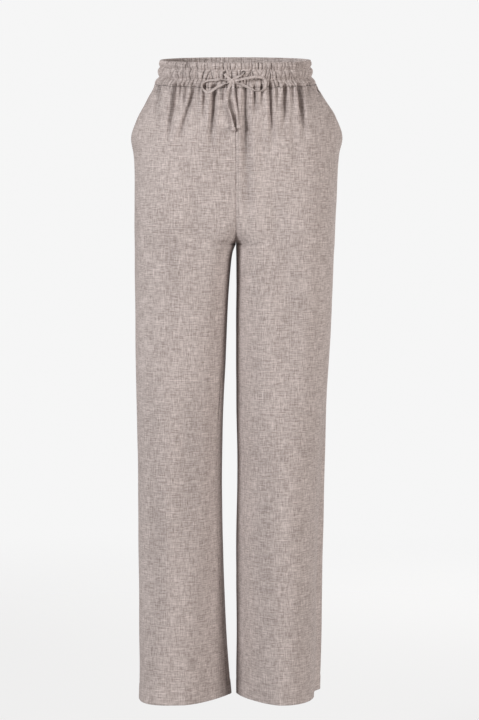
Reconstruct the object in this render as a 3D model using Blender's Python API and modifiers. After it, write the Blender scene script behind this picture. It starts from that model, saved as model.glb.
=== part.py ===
"""Linen drawstring trousers, filled out as worn: straight wide legs gathered onto an elastic waistband.

Metres, +Z up, the front faces -Y. The origin is the middle of the waist, halfway up the waistband at
the side seams. The wearer's right leg is at -X and the left leg at +X. Each half of the trousers is
lofted through ovals, from the waist seam to the hem. Above the crotch an oval passes the centre plane
and is cut there, which gives the centre seams and the curve of the crotch. Below it the oval closes
round the leg.
"""

import math
from typing import NamedTuple

import bmesh
import bpy

NAME = "linen_trousers"

# --- Driving sizes ------------------------------------------------------------------------------

CLOTH = 0.0014  # one layer of linen with its seam allowances
BAND_WALL = 0.0028  # two layers of linen and the elastic between them
SEAM_GAP = 0.0003  # gap between the solids of neighbouring pieces

BAND_HEIGHT = 0.040
WAIST_SEAM = -0.0195  # level of the waist seam at the side seams
WAIST_TILT = 0.092  # the waist is lower in front: rise per metre towards the back
TILT_ENDS = -0.160  # level at which the tilt has faded out
CROTCH = -0.281
HEM = -1.0465

MOUTH_BOTTOM = -0.146  # lowest point of the pocket mouths
POCKET_BOTTOM = -0.165  # lowest edge of the pocket facings
MOUTH_SET = {"right": 0.020, "left": 0.031}  # how far in front of the side seam a mouth runs
MOUTH_TOP, MOUTH_SLANT = 0.82, 0.55  # shares of that at the waist seam, and gained down to the foot
MOUTH_CURVES = 0.35  # share of the way down where the edge starts to curve to the side seam
MOUTH_GAPE = 0.0016  # how far the mouth stands off the facing at its middle
MOUTH_LIFTS = 0.030  # this far from its edge the front lies close again
FACING_REACH = 0.030  # how far a facing runs on under the front
FACING_TUCK = 0.006  # and under the back
FACING_DROP = 0.0015  # how far it starts below the waist seam
FACING_SET_IN = CLOTH + 0.0011  # how far it lies inside the outer face

TIE_WIDTH = 0.0036
TIE_STEP = 0.010  # spacing of the points along a tie
TIE_OVAL = 2.1  # squareness and depth of the front that the tie lies on
FRONT_DEPTH = 0.11
ROUTE_SAMPLES = 12  # between two points of a route
KNOT_PLACE = (-0.0064, 0.0048, -0.0188)  # across, stand-off, level
KNOT_HALF = (0.0054, 0.0038, 0.0044)
END_KNOT_HALF = 0.0030
EYELET_PLACES = {"right": (-0.0181, -0.0055), "left": (0.0123, -0.0045)}
EYELET_RING = 0.0024
EYELET_THREAD = 0.0006
EYELET_SET_OFF = 0.0008  # clear of the gathers behind it

DENSE = 96  # samples along one oval before it is spaced evenly
COLUMNS = {"front": (9, 4), "back": (7, 4)}  # outside and inside of the line below
COLUMN_LINE = 0.046  # this far from the centre plane a line of points runs straight down
BAND_COLUMNS = 13  # for each quarter of the waistband
FACING_COLUMNS = 5


class Torso(NamedTuple):
    """An oval of the body above the crotch; all but the level are distances from the middle."""

    level: float
    right: float  # side seam of the right half
    left: float  # side seam of the left half
    reach: float  # how far a half's oval would run on past the centre plane
    centre: float  # where the oval is deepest
    front: float
    back: float
    square: float  # 2 for an ellipse, more for fuller corners


class Leg(NamedTuple):
    """An oval round one leg."""

    level: float
    side: float  # outermost line
    gap: float  # innermost line
    front: float
    back: float
    middle: float  # depth of the outermost and innermost lines
    square: float
    toe: float  # how much the outer side comes forward, per metre outwards
    inseam: float  # degrees by which the inseam lies in front of the innermost line


TORSO = (
    Torso(WAIST_SEAM, 0.1355, 0.1330, 0.136, 0.000, 0.1035, 0.104, 2.10),
    Torso(-0.0240, 0.1370, 0.1350, 0.138, 0.000, 0.1055, 0.106, 2.10),
    Torso(-0.0460, 0.1488, 0.1492, 0.150, 0.000, 0.1125, 0.116, 2.20),
    Torso(-0.0750, 0.1620, 0.1665, 0.160, 0.004, 0.1180, 0.126, 2.30),
    Torso(-0.1050, 0.1720, 0.1745, 0.160, 0.012, 0.1210, 0.134, 2.40),
    Torso(-0.1350, 0.1690, 0.1703, 0.146, 0.024, 0.1220, 0.139, 2.50),
    Torso(-0.1650, 0.1674, 0.1676, 0.122, 0.038, 0.1220, 0.140, 2.60),
    Torso(-0.2050, 0.1674, 0.1662, 0.080, 0.058, 0.1210, 0.140, 2.70),
    Torso(-0.2350, 0.1677, 0.1648, 0.042, 0.071, 0.1200, 0.138, 2.70),
    Torso(-0.2600, 0.1680, 0.1640, 0.014, 0.080, 0.1180, 0.134, 2.60),
    Torso(CROTCH, 0.1680, 0.1635, 0.000, 0.083, 0.1160, 0.129, 2.50),
)

LEGS = {
    "right": (
        Leg(-0.300, 0.1680, 0.0060, 0.114, 0.124, 0.000, 2.45, 0.00, 4),
        Leg(-0.330, 0.1681, 0.0098, 0.111, 0.117, 0.000, 2.40, 0.00, 8),
        Leg(-0.380, 0.1678, 0.0135, 0.107, 0.110, 0.000, 2.30, 0.02, 14),
        Leg(-0.450, 0.1672, 0.0163, 0.102, 0.103, 0.000, 2.25, 0.05, 22),
        Leg(-0.550, 0.1660, 0.0202, 0.095, 0.096, 0.002, 2.20, 0.08, 29),
        Leg(-0.660, 0.1643, 0.0235, 0.088, 0.090, 0.004, 2.20, 0.12, 33),
        Leg(-0.780, 0.1634, 0.0220, 0.082, 0.085, 0.006, 2.20, 0.17, 30),
        Leg(-0.900, 0.1624, 0.0188, 0.077, 0.080, 0.008, 2.25, 0.22, 22),
        Leg(-1.000, 0.1620, 0.0128, 0.074, 0.077, 0.010, 2.35, 0.27, 13),
        Leg(HEM, 0.1630, 0.0085, 0.073, 0.075, 0.010, 2.40, 0.30, 9),
    ),
    "left": (
        Leg(-0.300, 0.1625, 0.0006, 0.114, 0.124, 0.000, 2.45, 0.00, 4),
        Leg(-0.330, 0.1616, 0.0010, 0.111, 0.117, 0.002, 2.40, 0.00, 8),
        Leg(-0.380, 0.1598, 0.0010, 0.107, 0.110, 0.005, 2.30, 0.00, 16),
        Leg(-0.450, 0.1574, 0.0004, 0.102, 0.104, 0.010, 2.25, 0.00, 24),
        Leg(-0.550, 0.1545, 0.0004, 0.095, 0.098, 0.016, 2.20, 0.00, 30),
        Leg(-0.660, 0.1517, 0.0020, 0.089, 0.093, 0.022, 2.20, 0.00, 33),
        Leg(-0.780, 0.1493, 0.0004, 0.084, 0.090, 0.027, 2.20, 0.02, 35),
        Leg(-0.900, 0.1476, 0.0012, 0.080, 0.088, 0.031, 2.25, 0.03, 36),
        Leg(-1.000, 0.1462, 0.0004, 0.078, 0.086, 0.034, 2.30, 0.04, 27),
        Leg(HEM, 0.1448, 0.0004, 0.077, 0.086, 0.036, 2.35, 0.04, 20),
    ),
}


class Fold(NamedTuple):
    """A soft trough that runs down a panel."""

    top: float  # level where it starts
    foot: float  # level where it has faded out
    start: float  # place across, at the top
    end: float  # place across, at the foot
    width: float
    depth: float


# The places across are along X, so that a fold keeps its line over the curved panel.
FRONT_FOLDS = (
    Fold(WAIST_SEAM, -0.125, -0.0990, -0.1120, 0.0070, 0.0062),
    Fold(WAIST_SEAM, -0.070, -0.0835, -0.0850, 0.0060, 0.0035),
    Fold(WAIST_SEAM, -0.130, -0.0680, -0.1010, 0.0075, 0.0045),
    Fold(WAIST_SEAM, -0.085, -0.0512, -0.0515, 0.0055, 0.0034),
    Fold(WAIST_SEAM, -0.150, -0.0335, -0.0430, 0.0070, 0.0038),
    Fold(WAIST_SEAM, -0.300, 0.0155, 0.0190, 0.0085, 0.0050),
    Fold(WAIST_SEAM, -0.085, 0.0290, 0.0310, 0.0055, 0.0030),
    Fold(WAIST_SEAM, -0.140, 0.0540, 0.0600, 0.0070, 0.0040),
    Fold(WAIST_SEAM, -0.100, 0.0787, 0.0770, 0.0065, 0.0034),
    Fold(WAIST_SEAM, -0.125, 0.1020, 0.1130, 0.0075, 0.0052),
)
BACK_FOLDS = (
    Fold(WAIST_SEAM, -0.130, -0.1080, -0.1200, 0.0080, 0.0055),
    Fold(WAIST_SEAM, -0.090, -0.0840, -0.0880, 0.0065, 0.0036),
    Fold(WAIST_SEAM, -0.140, -0.0600, -0.0700, 0.0080, 0.0048),
    Fold(WAIST_SEAM, -0.100, -0.0350, -0.0370, 0.0065, 0.0036),
    Fold(WAIST_SEAM, -0.120, -0.0130, -0.0150, 0.0065, 0.0034),
    Fold(WAIST_SEAM, -0.110, 0.0180, 0.0190, 0.0065, 0.0040),
    Fold(WAIST_SEAM, -0.150, 0.0420, 0.0500, 0.0080, 0.0048),
    Fold(WAIST_SEAM, -0.090, 0.0660, 0.0700, 0.0065, 0.0034),
    Fold(WAIST_SEAM, -0.135, 0.0900, 0.1010, 0.0080, 0.0052),
    Fold(WAIST_SEAM, -0.085, 0.1130, 0.1170, 0.0065, 0.0032),
)

FOLD_HOLDS = 0.25  # share of a fold's run that keeps its full depth
SEAM_EDGE = 0.0020  # beside a seam the cloth runs on flat for this far
SEAM_DIP = 0.0012  # the centre seams draw the cloth in
SEAM_DIP_WIDTH = 0.0090
SIDE_GROOVE_TOP = -0.420  # a long groove runs down the left leg beside its side seam
SIDE_GROOVE_FULL = -0.800
SIDE_GROOVE_DEPTH = 0.0095
SIDE_GROOVE_WIDTH = 0.0130
SIDE_GROOVE_SET = -0.014  # it lies this far in front of the side seam

ROWS = (
    (WAIST_SEAM, -0.0240, 1),
    (-0.0240, -0.1440, 7),
    (-0.1440, -0.2360, 4),
    (-0.2360, CROTCH, 4),
    (CROTCH, -0.3300, 2),
    (-0.3300, HEM, 9),
)  # from level, to level, steps


class BandRow(NamedTuple):
    """A line round the waistband, at a height over the waist seam."""

    height: float
    side: float
    depth: float
    ripple: float  # how deep its small gathers are


BAND_ROWS = (
    BandRow(0.0000, 0.1342, 0.1035, 0.0003),
    BandRow(0.0025, 0.1336, 0.1030, 0.0005),
    BandRow(0.0060, 0.1315, 0.1020, 0.0009),
    BandRow(0.0122, 0.1268, 0.0985, 0.0004),
    BandRow(0.0160, 0.1274, 0.0998, 0.0010),
    BandRow(0.0240, 0.1276, 0.1000, 0.0010),
    BandRow(0.0282, 0.1252, 0.0978, 0.0004),
    BandRow(0.0335, 0.1258, 0.0988, 0.0008),
    BandRow(BAND_HEIGHT, 0.1246, 0.0968, 0.0008),
)
RIPPLES = ((11, 0.4, 0.6), (17, 2.1, 0.4))  # waves round the band, phase, share

# Routes of the ties: (across, stand-off from the cloth to the tie's middle, level), chosen by hand.
TIES = {
    "right": {
        "lead": ((-0.0181, 0.0040, -0.0068), (-0.0158, 0.0046, -0.0100), (-0.0110, 0.0048, -0.0139)),
        "loop": (
            (-0.0125, 0.0066, -0.0176),
            (-0.0240, 0.0068, -0.0160),
            (-0.0360, 0.0060, -0.0165),
            (-0.0480, 0.0050, -0.0182),
            (-0.0548, 0.0042, -0.0236),
            (-0.0533, 0.0036, -0.0310),
            (-0.0466, 0.0034, -0.0366),
            (-0.0398, 0.0034, -0.0348),
            (-0.0320, 0.0036, -0.0290),
            (-0.0220, 0.0038, -0.0240),
            (-0.0126, 0.0040, -0.0216),
        ),
        "tail": (
            (-0.0086, 0.0048, -0.0232),
            (-0.0128, 0.0042, -0.0330),
            (-0.0142, 0.0038, -0.0430),
            (-0.0143, 0.0036, -0.0530),
            (-0.0115, 0.0036, -0.0640),
            (-0.0080, 0.0036, -0.0740),
            (-0.0058, 0.0036, -0.0840),
            (-0.0044, 0.0036, -0.0930),
        ),
    },
    "left": {
        "lead": ((0.0123, 0.0045, -0.0058), (0.0075, 0.0048, -0.0096), (-0.0016, 0.0048, -0.0139)),
        "loop": (
            (-0.0004, 0.0066, -0.0176),
            (0.0110, 0.0072, -0.0150),
            (0.0230, 0.0068, -0.0128),
            (0.0350, 0.0060, -0.0120),
            (0.0440, 0.0052, -0.0137),
            (0.0480, 0.0044, -0.0202),
            (0.0466, 0.0038, -0.0290),
            (0.0398, 0.0034, -0.0346),
            (0.0300, 0.0034, -0.0338),
            (0.0200, 0.0036, -0.0290),
            (0.0105, 0.0038, -0.0246),
            (-0.0003, 0.0040, -0.0216),
        ),
        "tail": (
            (-0.0042, 0.0048, -0.0232),
            (-0.0046, 0.0042, -0.0340),
            (-0.0036, 0.0040, -0.0450),
            (-0.0010, 0.0038, -0.0570),
            (0.0012, 0.0038, -0.0690),
            (0.0032, 0.0038, -0.0790),
            (0.0046, 0.0038, -0.0890),
        ),
    },
}

SIDES = {"right": -1, "left": 1}


# --- Numbers ------------------------------------------------------------------------------------


def smooth_read(rows, level):
    """The values of a table at a level, on smooth curves through its rows, which run downwards."""
    last = len(rows) - 2
    i = next((k for k in range(last + 1) if level >= rows[k + 1][0]), last)
    above, below = rows[i], rows[i + 1]
    before, after = rows[max(i - 1, 0)], rows[min(i + 2, last + 1)]
    span = above[0] - below[0]
    t = min(max((above[0] - level) / span, 0.0), 1.0)
    values = []
    for k in range(1, len(above)):
        slope_in = (below[k] - before[k]) / (before[0] - below[0]) * span
        slope_out = (after[k] - above[k]) / (above[0] - after[0]) * span
        rise = below[k] - above[k]
        values.append(
            above[k]
            + t * slope_in
            + t * t * (3 * rise - 2 * slope_in - slope_out)
            + t ** 3 * (slope_in + slope_out - 2 * rise)
        )
    return values


def fade(value, start, end):
    """0 at start, 1 at end, on a soft S between them."""
    t = min(max((value - start) / (end - start), 0.0), 1.0)
    return t * t * (3.0 - 2.0 * t)


def leg_rows(side):
    """The rows of one half from crotch to hem, the crotch's own oval first."""
    first = TORSO[-1]
    width = first.right if side == "right" else first.left
    return (Leg(CROTCH, width, SEAM_GAP / 2, first.front, first.back, 0.0, first.square, 0.0, 0.0),) + LEGS[side]


def oval_point(outer, inner, centre, front, back, middle, square, toe, turn):
    """A point of an oval, turned from its outermost line; a turn above zero goes round the front."""
    cos, sin = math.cos(turn), math.sin(turn)
    power = 2.0 / square
    across = centre + (outer - centre if cos > 0 else centre - inner) * math.copysign(abs(cos) ** power, cos)
    depth = -front - middle if sin > 0 else back - middle
    return across, middle + depth * abs(sin) ** power - toe * (across - centre)


def half_oval(side, level, face):
    """Points of the half's outline on one face, from the side seam to the centre seam or the inseam."""
    if level > CROTCH:
        right, left, reach, centre, front, back, square = smooth_read(TORSO, level)
        outer = right if side == "right" else left
        inner, middle, toe = -max(reach, 0.0), 0.0, 0.0
        cut = (centre - SEAM_GAP / 2) / (centre - inner)
        last = math.pi - math.acos(min(max(cut, 0.0), 1.0) ** (square / 2.0))
    else:
        outer, inner, front, back, middle, square, toe, inseam = smooth_read(leg_rows(side), level)
        centre = (outer + inner) / 2.0
        above = leg_rows(side)[0]
        centre += (TORSO[-1].centre - (above.side + above.gap) / 2.0) * fade(level, LEGS[side][1].level, CROTCH)
        last = math.pi - math.radians(inseam) * (1 if face == "front" else -1)
    sign = 1 if face == "front" else -1
    turns = [sign * last * k / DENSE for k in range(DENSE + 1)]
    return [oval_point(outer, inner, centre, front, back, middle, square, toe, t) for t in turns]


def lengths_along(points):
    """The distance along a line at each of its points."""
    total = [0.0]
    for a, b in zip(points, points[1:]):
        total.append(total[-1] + math.dist(a, b))
    return total


def point_at(points, lengths, distance):
    """The point and the outward direction at a distance along a half's outline."""
    i = next((k for k in range(len(lengths) - 2) if lengths[k + 1] >= distance), len(lengths) - 2)
    t = (distance - lengths[i]) / (lengths[i + 1] - lengths[i])
    a, b = points[i], points[i + 1]
    i0, i1 = max(i - 1, 0), min(i + 2, len(points) - 1)
    along = (points[i1][0] - points[i0][0], points[i1][1] - points[i0][1])
    size = math.hypot(*along)
    return (a[0] + t * (b[0] - a[0]), a[1] + t * (b[1] - a[1])), (along[0] / size, along[1] / size)


def spread(outline, start, end, counts):
    """Distances along an outline, even on each side of the line at COLUMN_LINE."""
    lengths = lengths_along(outline)
    line = next((d for d, point in zip(lengths, outline) if point[0] < COLUMN_LINE), end)
    outside = [start + (line - start) * k / counts[0] for k in range(counts[0])]
    return outside + [line + (end - line) * k / counts[1] for k in range(counts[1] + 1)]


def fold_depth(face, x, level):
    """How far the folds and the centre seam of one face press the cloth in at a place."""
    total = SEAM_DIP * math.exp(-((x / SEAM_DIP_WIDTH) ** 2)) * fade(level, CROTCH, CROTCH + 0.050)
    for fold in FRONT_FOLDS if face == "front" else BACK_FOLDS:
        run = (fold.top - level) / (fold.top - fold.foot)
        line = fold.start + (fold.end - fold.start) * min(max(run, 0.0), 1.0)
        strength = 1.0 - fade(run, FOLD_HOLDS, 1.0)
        total += fold.depth * strength * math.exp(-(((x - line) / fold.width) ** 2))
    return total


def groove_depth(side, face, distance, level):
    """The groove beside the left leg's side seam, by the distance from the seam."""
    if side != "left":
        return 0.0
    place = distance if face == "back" else -distance
    strength = fade(level, SIDE_GROOVE_TOP, SIDE_GROOVE_FULL)
    return SIDE_GROOVE_DEPTH * strength * math.exp(-(((place - SIDE_GROOVE_SET) / SIDE_GROOVE_WIDTH) ** 2))


def tilted(level, y):
    """The height of a point of a row, which tilts with the waist and levels out below the hip."""
    return level + WAIST_TILT * y * (1.0 - fade(level, WAIST_SEAM, TILT_ENDS))


def panel_point(side, face, level, distance, outline, lift=0.0, like=None):
    """A point of the outer face of the cloth, by its distance from the side seam.

    Its folds are those at the distance `like`, where that is given, and it is lifted off by `lift`.
    """
    lengths = lengths_along(outline)
    (across, y), along = point_at(outline, lengths, distance)
    out = (along[1], -along[0]) if face == "back" else (-along[1], along[0])
    folded_at = distance if like is None else like
    (x, _), _ = point_at(outline, lengths, folded_at)
    press = fold_depth(face, SIDES[side] * x, level) + groove_depth(side, face, folded_at, level) - lift
    across, y = across - out[0] * press, y - out[1] * press
    return SIDES[side] * max(across, SEAM_GAP / 2), y, tilted(level, y)


# --- Blender helpers ----------------------------------------------------------------------------


def clear_scene():
    """Empties the file."""
    for thing in list(bpy.data.objects):
        bpy.data.objects.remove(thing)


def make_material(name, colour, roughness, metallic=0.0):
    """A plain finish."""
    material = bpy.data.materials.new(name)
    material.use_nodes = True
    shader = material.node_tree.nodes["Principled BSDF"]
    shader.inputs["Base Color"].default_value = (*colour, 1.0)
    shader.inputs["Roughness"].default_value = roughness
    shader.inputs["Metallic"].default_value = metallic
    material.diffuse_color = (*colour, 1.0)
    return material


def place(name, data, colour, roughness=0.9):
    """Puts a piece into the model's collection, with its own finish."""
    piece = bpy.data.objects.new(name, data)
    piece.data.materials.append(make_material(name, colour, roughness))
    bpy.data.collections[NAME].objects.link(piece)
    return piece


def grid_mesh(name, rows, flip, closed=False):
    """A sheet through rows of points; closed joins the end of each row to its start."""
    mesh = bpy.data.meshes.new(name)
    bm = bmesh.new()
    grid = [[bm.verts.new(point) for point in row] for row in rows]
    columns = len(rows[0]) if closed else len(rows[0]) - 1
    for upper, lower in zip(grid, grid[1:]):
        for j in range(columns):
            k = (j + 1) % len(upper)
            corners = (upper[j], upper[k], lower[k], lower[j])
            bm.faces.new(reversed(corners) if flip else corners)
    bm.to_mesh(mesh)
    bm.free()
    mesh.shade_smooth()
    return mesh


def give_wall(piece, thickness):
    """Thickens a sheet inwards, into a wall of cloth."""
    wall = piece.modifiers.new("wall", "SOLIDIFY")
    wall.thickness = thickness
    wall.offset = -1.0
    wall.use_even_offset = False


# --- The pieces ---------------------------------------------------------------------------------

LINEN = (0.43, 0.36, 0.33)
LINEN_SHADE = (0.34, 0.28, 0.25)


def levels():
    """The level of each row of a panel, from the waist seam to the hem."""
    found = [WAIST_SEAM - SEAM_GAP]
    for start, end, steps in ROWS:
        found += [start + (end - start) * k / steps for k in range(1, steps + 1)]
    return found


def mouth_distance(side, level):
    """How far in front of the side seam the front is cut away for the pocket mouth."""
    down = (WAIST_SEAM - level) / (WAIST_SEAM - MOUTH_BOTTOM)
    if down >= 1.0:
        return 0.0
    return MOUTH_SET[side] * (MOUTH_TOP + MOUTH_SLANT * down) * (1.0 - fade(down, MOUTH_CURVES, 1.0))


def build_panel(side, face):
    """A front or a back, from waist seam to hem."""
    rows = []
    for level in levels():
        outline = half_oval(side, level, face)
        length = lengths_along(outline)[-1]
        mouth = mouth_distance(side, level) if face == "front" else 0.0
        start = mouth + SEAM_GAP / 2
        end = length - (SEAM_GAP / 2 if level <= CROTCH else 0.0)
        down = min(max((WAIST_SEAM - level) / (WAIST_SEAM - MOUTH_BOTTOM), 0.0), 1.0)
        gape = MOUTH_GAPE * math.sin(math.pi * down) if face == "front" else 0.0
        inner = spread(outline, start, end, COLUMNS[face])[1:-1]
        row = [panel_point(side, face, level, start + edge, outline, gape, start) for edge in (0.0, SEAM_EDGE)]
        for distance in inner:
            lift = gape * (1.0 - fade(distance - mouth, 0.0, MOUTH_LIFTS))
            row.append(panel_point(side, face, level, distance, outline, lift))
        row += [panel_point(side, face, level, end - edge, outline, 0.0, end) for edge in (SEAM_EDGE, 0.0)]
        rows.append(row)
    flip = (side == "right") == (face == "front")
    panel = place(f"{face}_{side}", grid_mesh(f"{face}_{side}", rows, flip), LINEN)
    give_wall(panel, CLOTH)


def build_facing(side):
    """The self-cloth layer behind a pocket mouth, set in under the front and the back."""
    rows = []
    for level in [WAIST_SEAM - FACING_DROP] + [value for value in levels()[1:] if value > POCKET_BOTTOM]:
        front, back = half_oval(side, level, "front"), half_oval(side, level, "back")
        reach = mouth_distance(side, level) + FACING_REACH
        row = [panel_point(side, "back", level, FACING_TUCK, back, -FACING_SET_IN)]
        for j in range(FACING_COLUMNS + 1):
            distance = reach * j / FACING_COLUMNS
            row.append(panel_point(side, "front", level, distance, front, -FACING_SET_IN))
        rows.append(row)
    facing = place(f"pocket_facing_{side}", grid_mesh(f"pocket_facing_{side}", rows, side == "right"), LINEN_SHADE)
    give_wall(facing, CLOTH)


def band_point(row, turn):
    """A point of the waistband's outer face, turned from +X towards the back."""
    cos, sin = math.cos(turn), math.sin(turn)
    power = 2.0 / TORSO[0].square
    narrow = TORSO[0].left / TORSO[0].right if cos > 0 else 1.0
    x = row.side * narrow * math.copysign(abs(cos) ** power, cos)
    y = row.depth * math.copysign(abs(sin) ** power, sin)
    ripple = sum(share * math.cos(count * turn + phase) for count, phase, share in RIPPLES)
    face = "front" if y < 0 else "back"
    follow = 1.0 - fade(row.height, 0.0, BAND_ROWS[3].height)
    press = fold_depth(face, x, WAIST_SEAM) * follow + row.ripple * ripple
    size = math.hypot(x / row.side**2, y / row.depth**2)
    x -= press * x / row.side**2 / size
    y -= press * y / row.depth**2 / size
    return x, y, WAIST_SEAM + SEAM_GAP / 2 + row.height + WAIST_TILT * y


def build_waistband():
    """The gathered casing, with its three channels, all round the waist."""
    count = 4 * BAND_COLUMNS
    rows = [[band_point(row, math.tau * j / count) for j in range(count)] for row in reversed(BAND_ROWS)]
    band = place("waistband", grid_mesh("waistband", rows, True, closed=True), LINEN)
    give_wall(band, BAND_WALL)


def band_front(x, level):
    """The depth of the waistband's outer face in front, with its gathers, at a place."""
    height = level - WAIST_SEAM + WAIST_TILT * BAND_ROWS[0].depth
    row = BandRow(height, *smooth_read([(-row.height, *row[1:]) for row in BAND_ROWS], -height))
    turn = -math.acos(math.copysign(abs(x / row.side) ** (TORSO[0].square / 2.0), x))
    return band_point(row, turn)[1]


def front_of(x, level):
    """The depth of the front at a place, over its folds and gathers."""
    height = level - WAIST_SEAM + WAIST_TILT * BAND_ROWS[0].depth
    if height > 0:
        side, depth, _ = smooth_read([(-row.height, *row[1:]) for row in BAND_ROWS], -height)
    else:
        _, side, _, _, depth, _, _ = smooth_read(TORSO, level + WAIST_TILT * FRONT_DEPTH)
    return -depth * (1.0 - min(abs(x) / side, 1.0) ** TIE_OVAL) ** (1 / TIE_OVAL)


def on_the_front(route):
    """A tie's own points, in space."""
    return [(x, front_of(x, level) - out, level) for x, out, level in route]


def smooth_route(points, step):
    """Evenly spaced points on a smooth curve through a route's own points."""
    ends = [tuple(2 * a - b for a, b in zip(points[0], points[1]))]
    ends += list(points) + [tuple(2 * a - b for a, b in zip(points[-1], points[-2]))]
    fine = []
    for p0, p1, p2, p3 in zip(ends, ends[1:], ends[2:], ends[3:]):
        for k in range(ROUTE_SAMPLES):
            t = k / ROUTE_SAMPLES
            fine.append(
                tuple(
                    0.5 * (2 * b + (c - a) * t + (2 * a - 5 * b + 4 * c - d) * t**2 + (3 * b - a - 3 * c + d) * t**3)
                    for a, b, c, d in zip(p0, p1, p2, p3)
                )
            )
    fine.append(points[-1])
    lengths = lengths_along(fine)
    count = max(2, round(lengths[-1] / step))
    spaced = []
    for k in range(count + 1):
        target = lengths[-1] * k / count
        i = next((n for n in range(len(lengths) - 2) if lengths[n + 1] >= target), len(lengths) - 2)
        t = (target - lengths[i]) / (lengths[i + 1] - lengths[i])
        spaced.append(tuple(a + t * (b - a) for a, b in zip(fine[i], fine[i + 1])))
    return spaced


def build_tie_stretch(name, route):
    """One stretch of a tie, as a filled tube along its route."""
    data = bpy.data.curves.new(name, "CURVE")
    data.dimensions = "3D"
    data.bevel_depth = TIE_WIDTH / 2
    data.bevel_resolution = 2
    data.use_fill_caps = True
    points = smooth_route(on_the_front(route), TIE_STEP)
    spline = data.splines.new("POLY")
    spline.points.add(len(points) - 1)
    for target, point in zip(spline.points, points):
        target.co = (*point, 1.0)
    place(name, data, LINEN)


def build_knot(name, centre, half):
    """A rounded knot."""
    mesh = bpy.data.meshes.new(name)
    bm = bmesh.new()
    bmesh.ops.create_uvsphere(bm, u_segments=12, v_segments=8, radius=1.0)
    for vertex in bm.verts:
        vertex.co = [c + h * v for c, h, v in zip(centre, half, vertex.co)]
    bm.to_mesh(mesh)
    bm.free()
    mesh.shade_smooth()
    place(name, mesh, LINEN)


def build_eyelet(side):
    """The sewn ring that a tie comes out of."""
    x, level = EYELET_PLACES[side]
    bpy.ops.mesh.primitive_torus_add(
        major_segments=14,
        minor_segments=6,
        major_radius=EYELET_RING,
        minor_radius=EYELET_THREAD,
        location=(x, band_front(x, level) - EYELET_THREAD - EYELET_SET_OFF, level),
        rotation=(math.pi / 2, 0.0, 0.0),
    )
    ring = bpy.context.active_object
    mesh = ring.data
    mesh.transform(ring.matrix_world)
    bpy.data.objects.remove(ring)
    mesh.shade_smooth()
    place(f"eyelet_{side}", mesh, LINEN_SHADE)


def build_tie(side):
    """The lead, the bow loop, the tail and the end knot of one half of the tie."""
    stretches = TIES[side]
    for kind, route in stretches.items():
        build_tie_stretch(f"tie_{kind}_{side}", route)
    before, end = on_the_front(stretches["tail"][-2:])
    size = math.dist(before, end)
    away = END_KNOT_HALF + SEAM_GAP
    centre = [b + (b - a) / size * away for a, b in zip(before, end)]
    build_knot(f"end_knot_{side}", centre, (END_KNOT_HALF,) * 3)


def main():
    """Builds the trousers."""
    clear_scene()
    collection = bpy.data.collections.new(NAME)
    bpy.context.scene.collection.children.link(collection)
    for side in SIDES:
        build_panel(side, "front")
        build_panel(side, "back")
        build_facing(side)
        build_eyelet(side)
        build_tie(side)
    build_waistband()
    build_knot("bow_knot", on_the_front([KNOT_PLACE])[0], KNOT_HALF)


main()
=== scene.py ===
import logging
import math
from dataclasses import dataclass, field
from enum import Enum
from functools import cached_property
from typing import NamedTuple, Sequence

import bmesh
import bpy
import numpy as np
from mathutils import Matrix, Vector, noise


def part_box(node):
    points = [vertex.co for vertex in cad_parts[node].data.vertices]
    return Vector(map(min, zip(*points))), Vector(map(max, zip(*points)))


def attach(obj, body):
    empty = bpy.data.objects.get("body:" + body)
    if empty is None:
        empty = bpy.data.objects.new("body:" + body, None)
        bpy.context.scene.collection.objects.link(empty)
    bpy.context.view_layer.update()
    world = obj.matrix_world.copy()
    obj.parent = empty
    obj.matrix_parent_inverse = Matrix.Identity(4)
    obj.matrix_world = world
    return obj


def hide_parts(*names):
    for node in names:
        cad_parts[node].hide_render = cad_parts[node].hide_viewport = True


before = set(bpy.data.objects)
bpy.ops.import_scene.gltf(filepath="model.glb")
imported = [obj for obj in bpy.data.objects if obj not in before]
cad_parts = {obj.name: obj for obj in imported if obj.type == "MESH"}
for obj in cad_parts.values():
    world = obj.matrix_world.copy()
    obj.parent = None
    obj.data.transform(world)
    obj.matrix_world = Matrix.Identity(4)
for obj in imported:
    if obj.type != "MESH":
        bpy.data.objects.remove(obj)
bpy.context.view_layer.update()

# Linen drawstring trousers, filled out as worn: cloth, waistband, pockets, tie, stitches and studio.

LOG = logging.getLogger("trousers")
Point = tuple[float, float, float]

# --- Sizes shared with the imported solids, in metres ---------------------------------------------

WAIST_SEAM = -0.0195  # level of the waist seam at the side seams
WAIST_TILT = 0.092  # the waist is lower in front: rise per metre towards the back
TILT_ENDS = -0.160  # level below which the rows lie flat
CROTCH = -0.281
HEM = -1.0465
BAND_HEIGHT = 0.040
MOUTH_BOTTOM = -0.146  # level of the lower end of the pocket's mouth
SEAM_GAP = 0.0001  # between neighbours at a seam
LAYER = 0.0007  # one layer of linen


class Side(Enum):
    """The wearer's right (-X) and left (+X)."""

    RIGHT = -1
    LEFT = 1


class Face(Enum):
    """The front (-Y) and the back of the trousers."""

    FRONT = -1
    BACK = 1


class Slot(Enum):
    """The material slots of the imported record."""

    LINEN = "linen"
    FACING = "linen_facing"
    TIE = "linen_tie"
    THREAD = "eyelet_thread"


class Torso(NamedTuple):
    """An oval of the body above the crotch."""

    level: float
    right: float
    left: float
    reach: float  # how far the oval runs past the centre plane
    centre: float
    front: float
    back: float
    square: float


class Leg(NamedTuple):
    """An oval round one leg."""

    level: float
    side: float
    gap: float  # from the centre plane to the inner leg
    front: float
    back: float
    middle: float
    square: float
    toe: float  # turn of the leg: depth per metre across
    inseam: float  # degrees past the inmost point
    slant: float = 0.0  # exponent of the inner front quarter, where it isn't the oval's own


class BandRow(NamedTuple):
    """A line round the waistband, at a height over the waist seam."""

    height: float
    side: float
    depth: float


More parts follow.
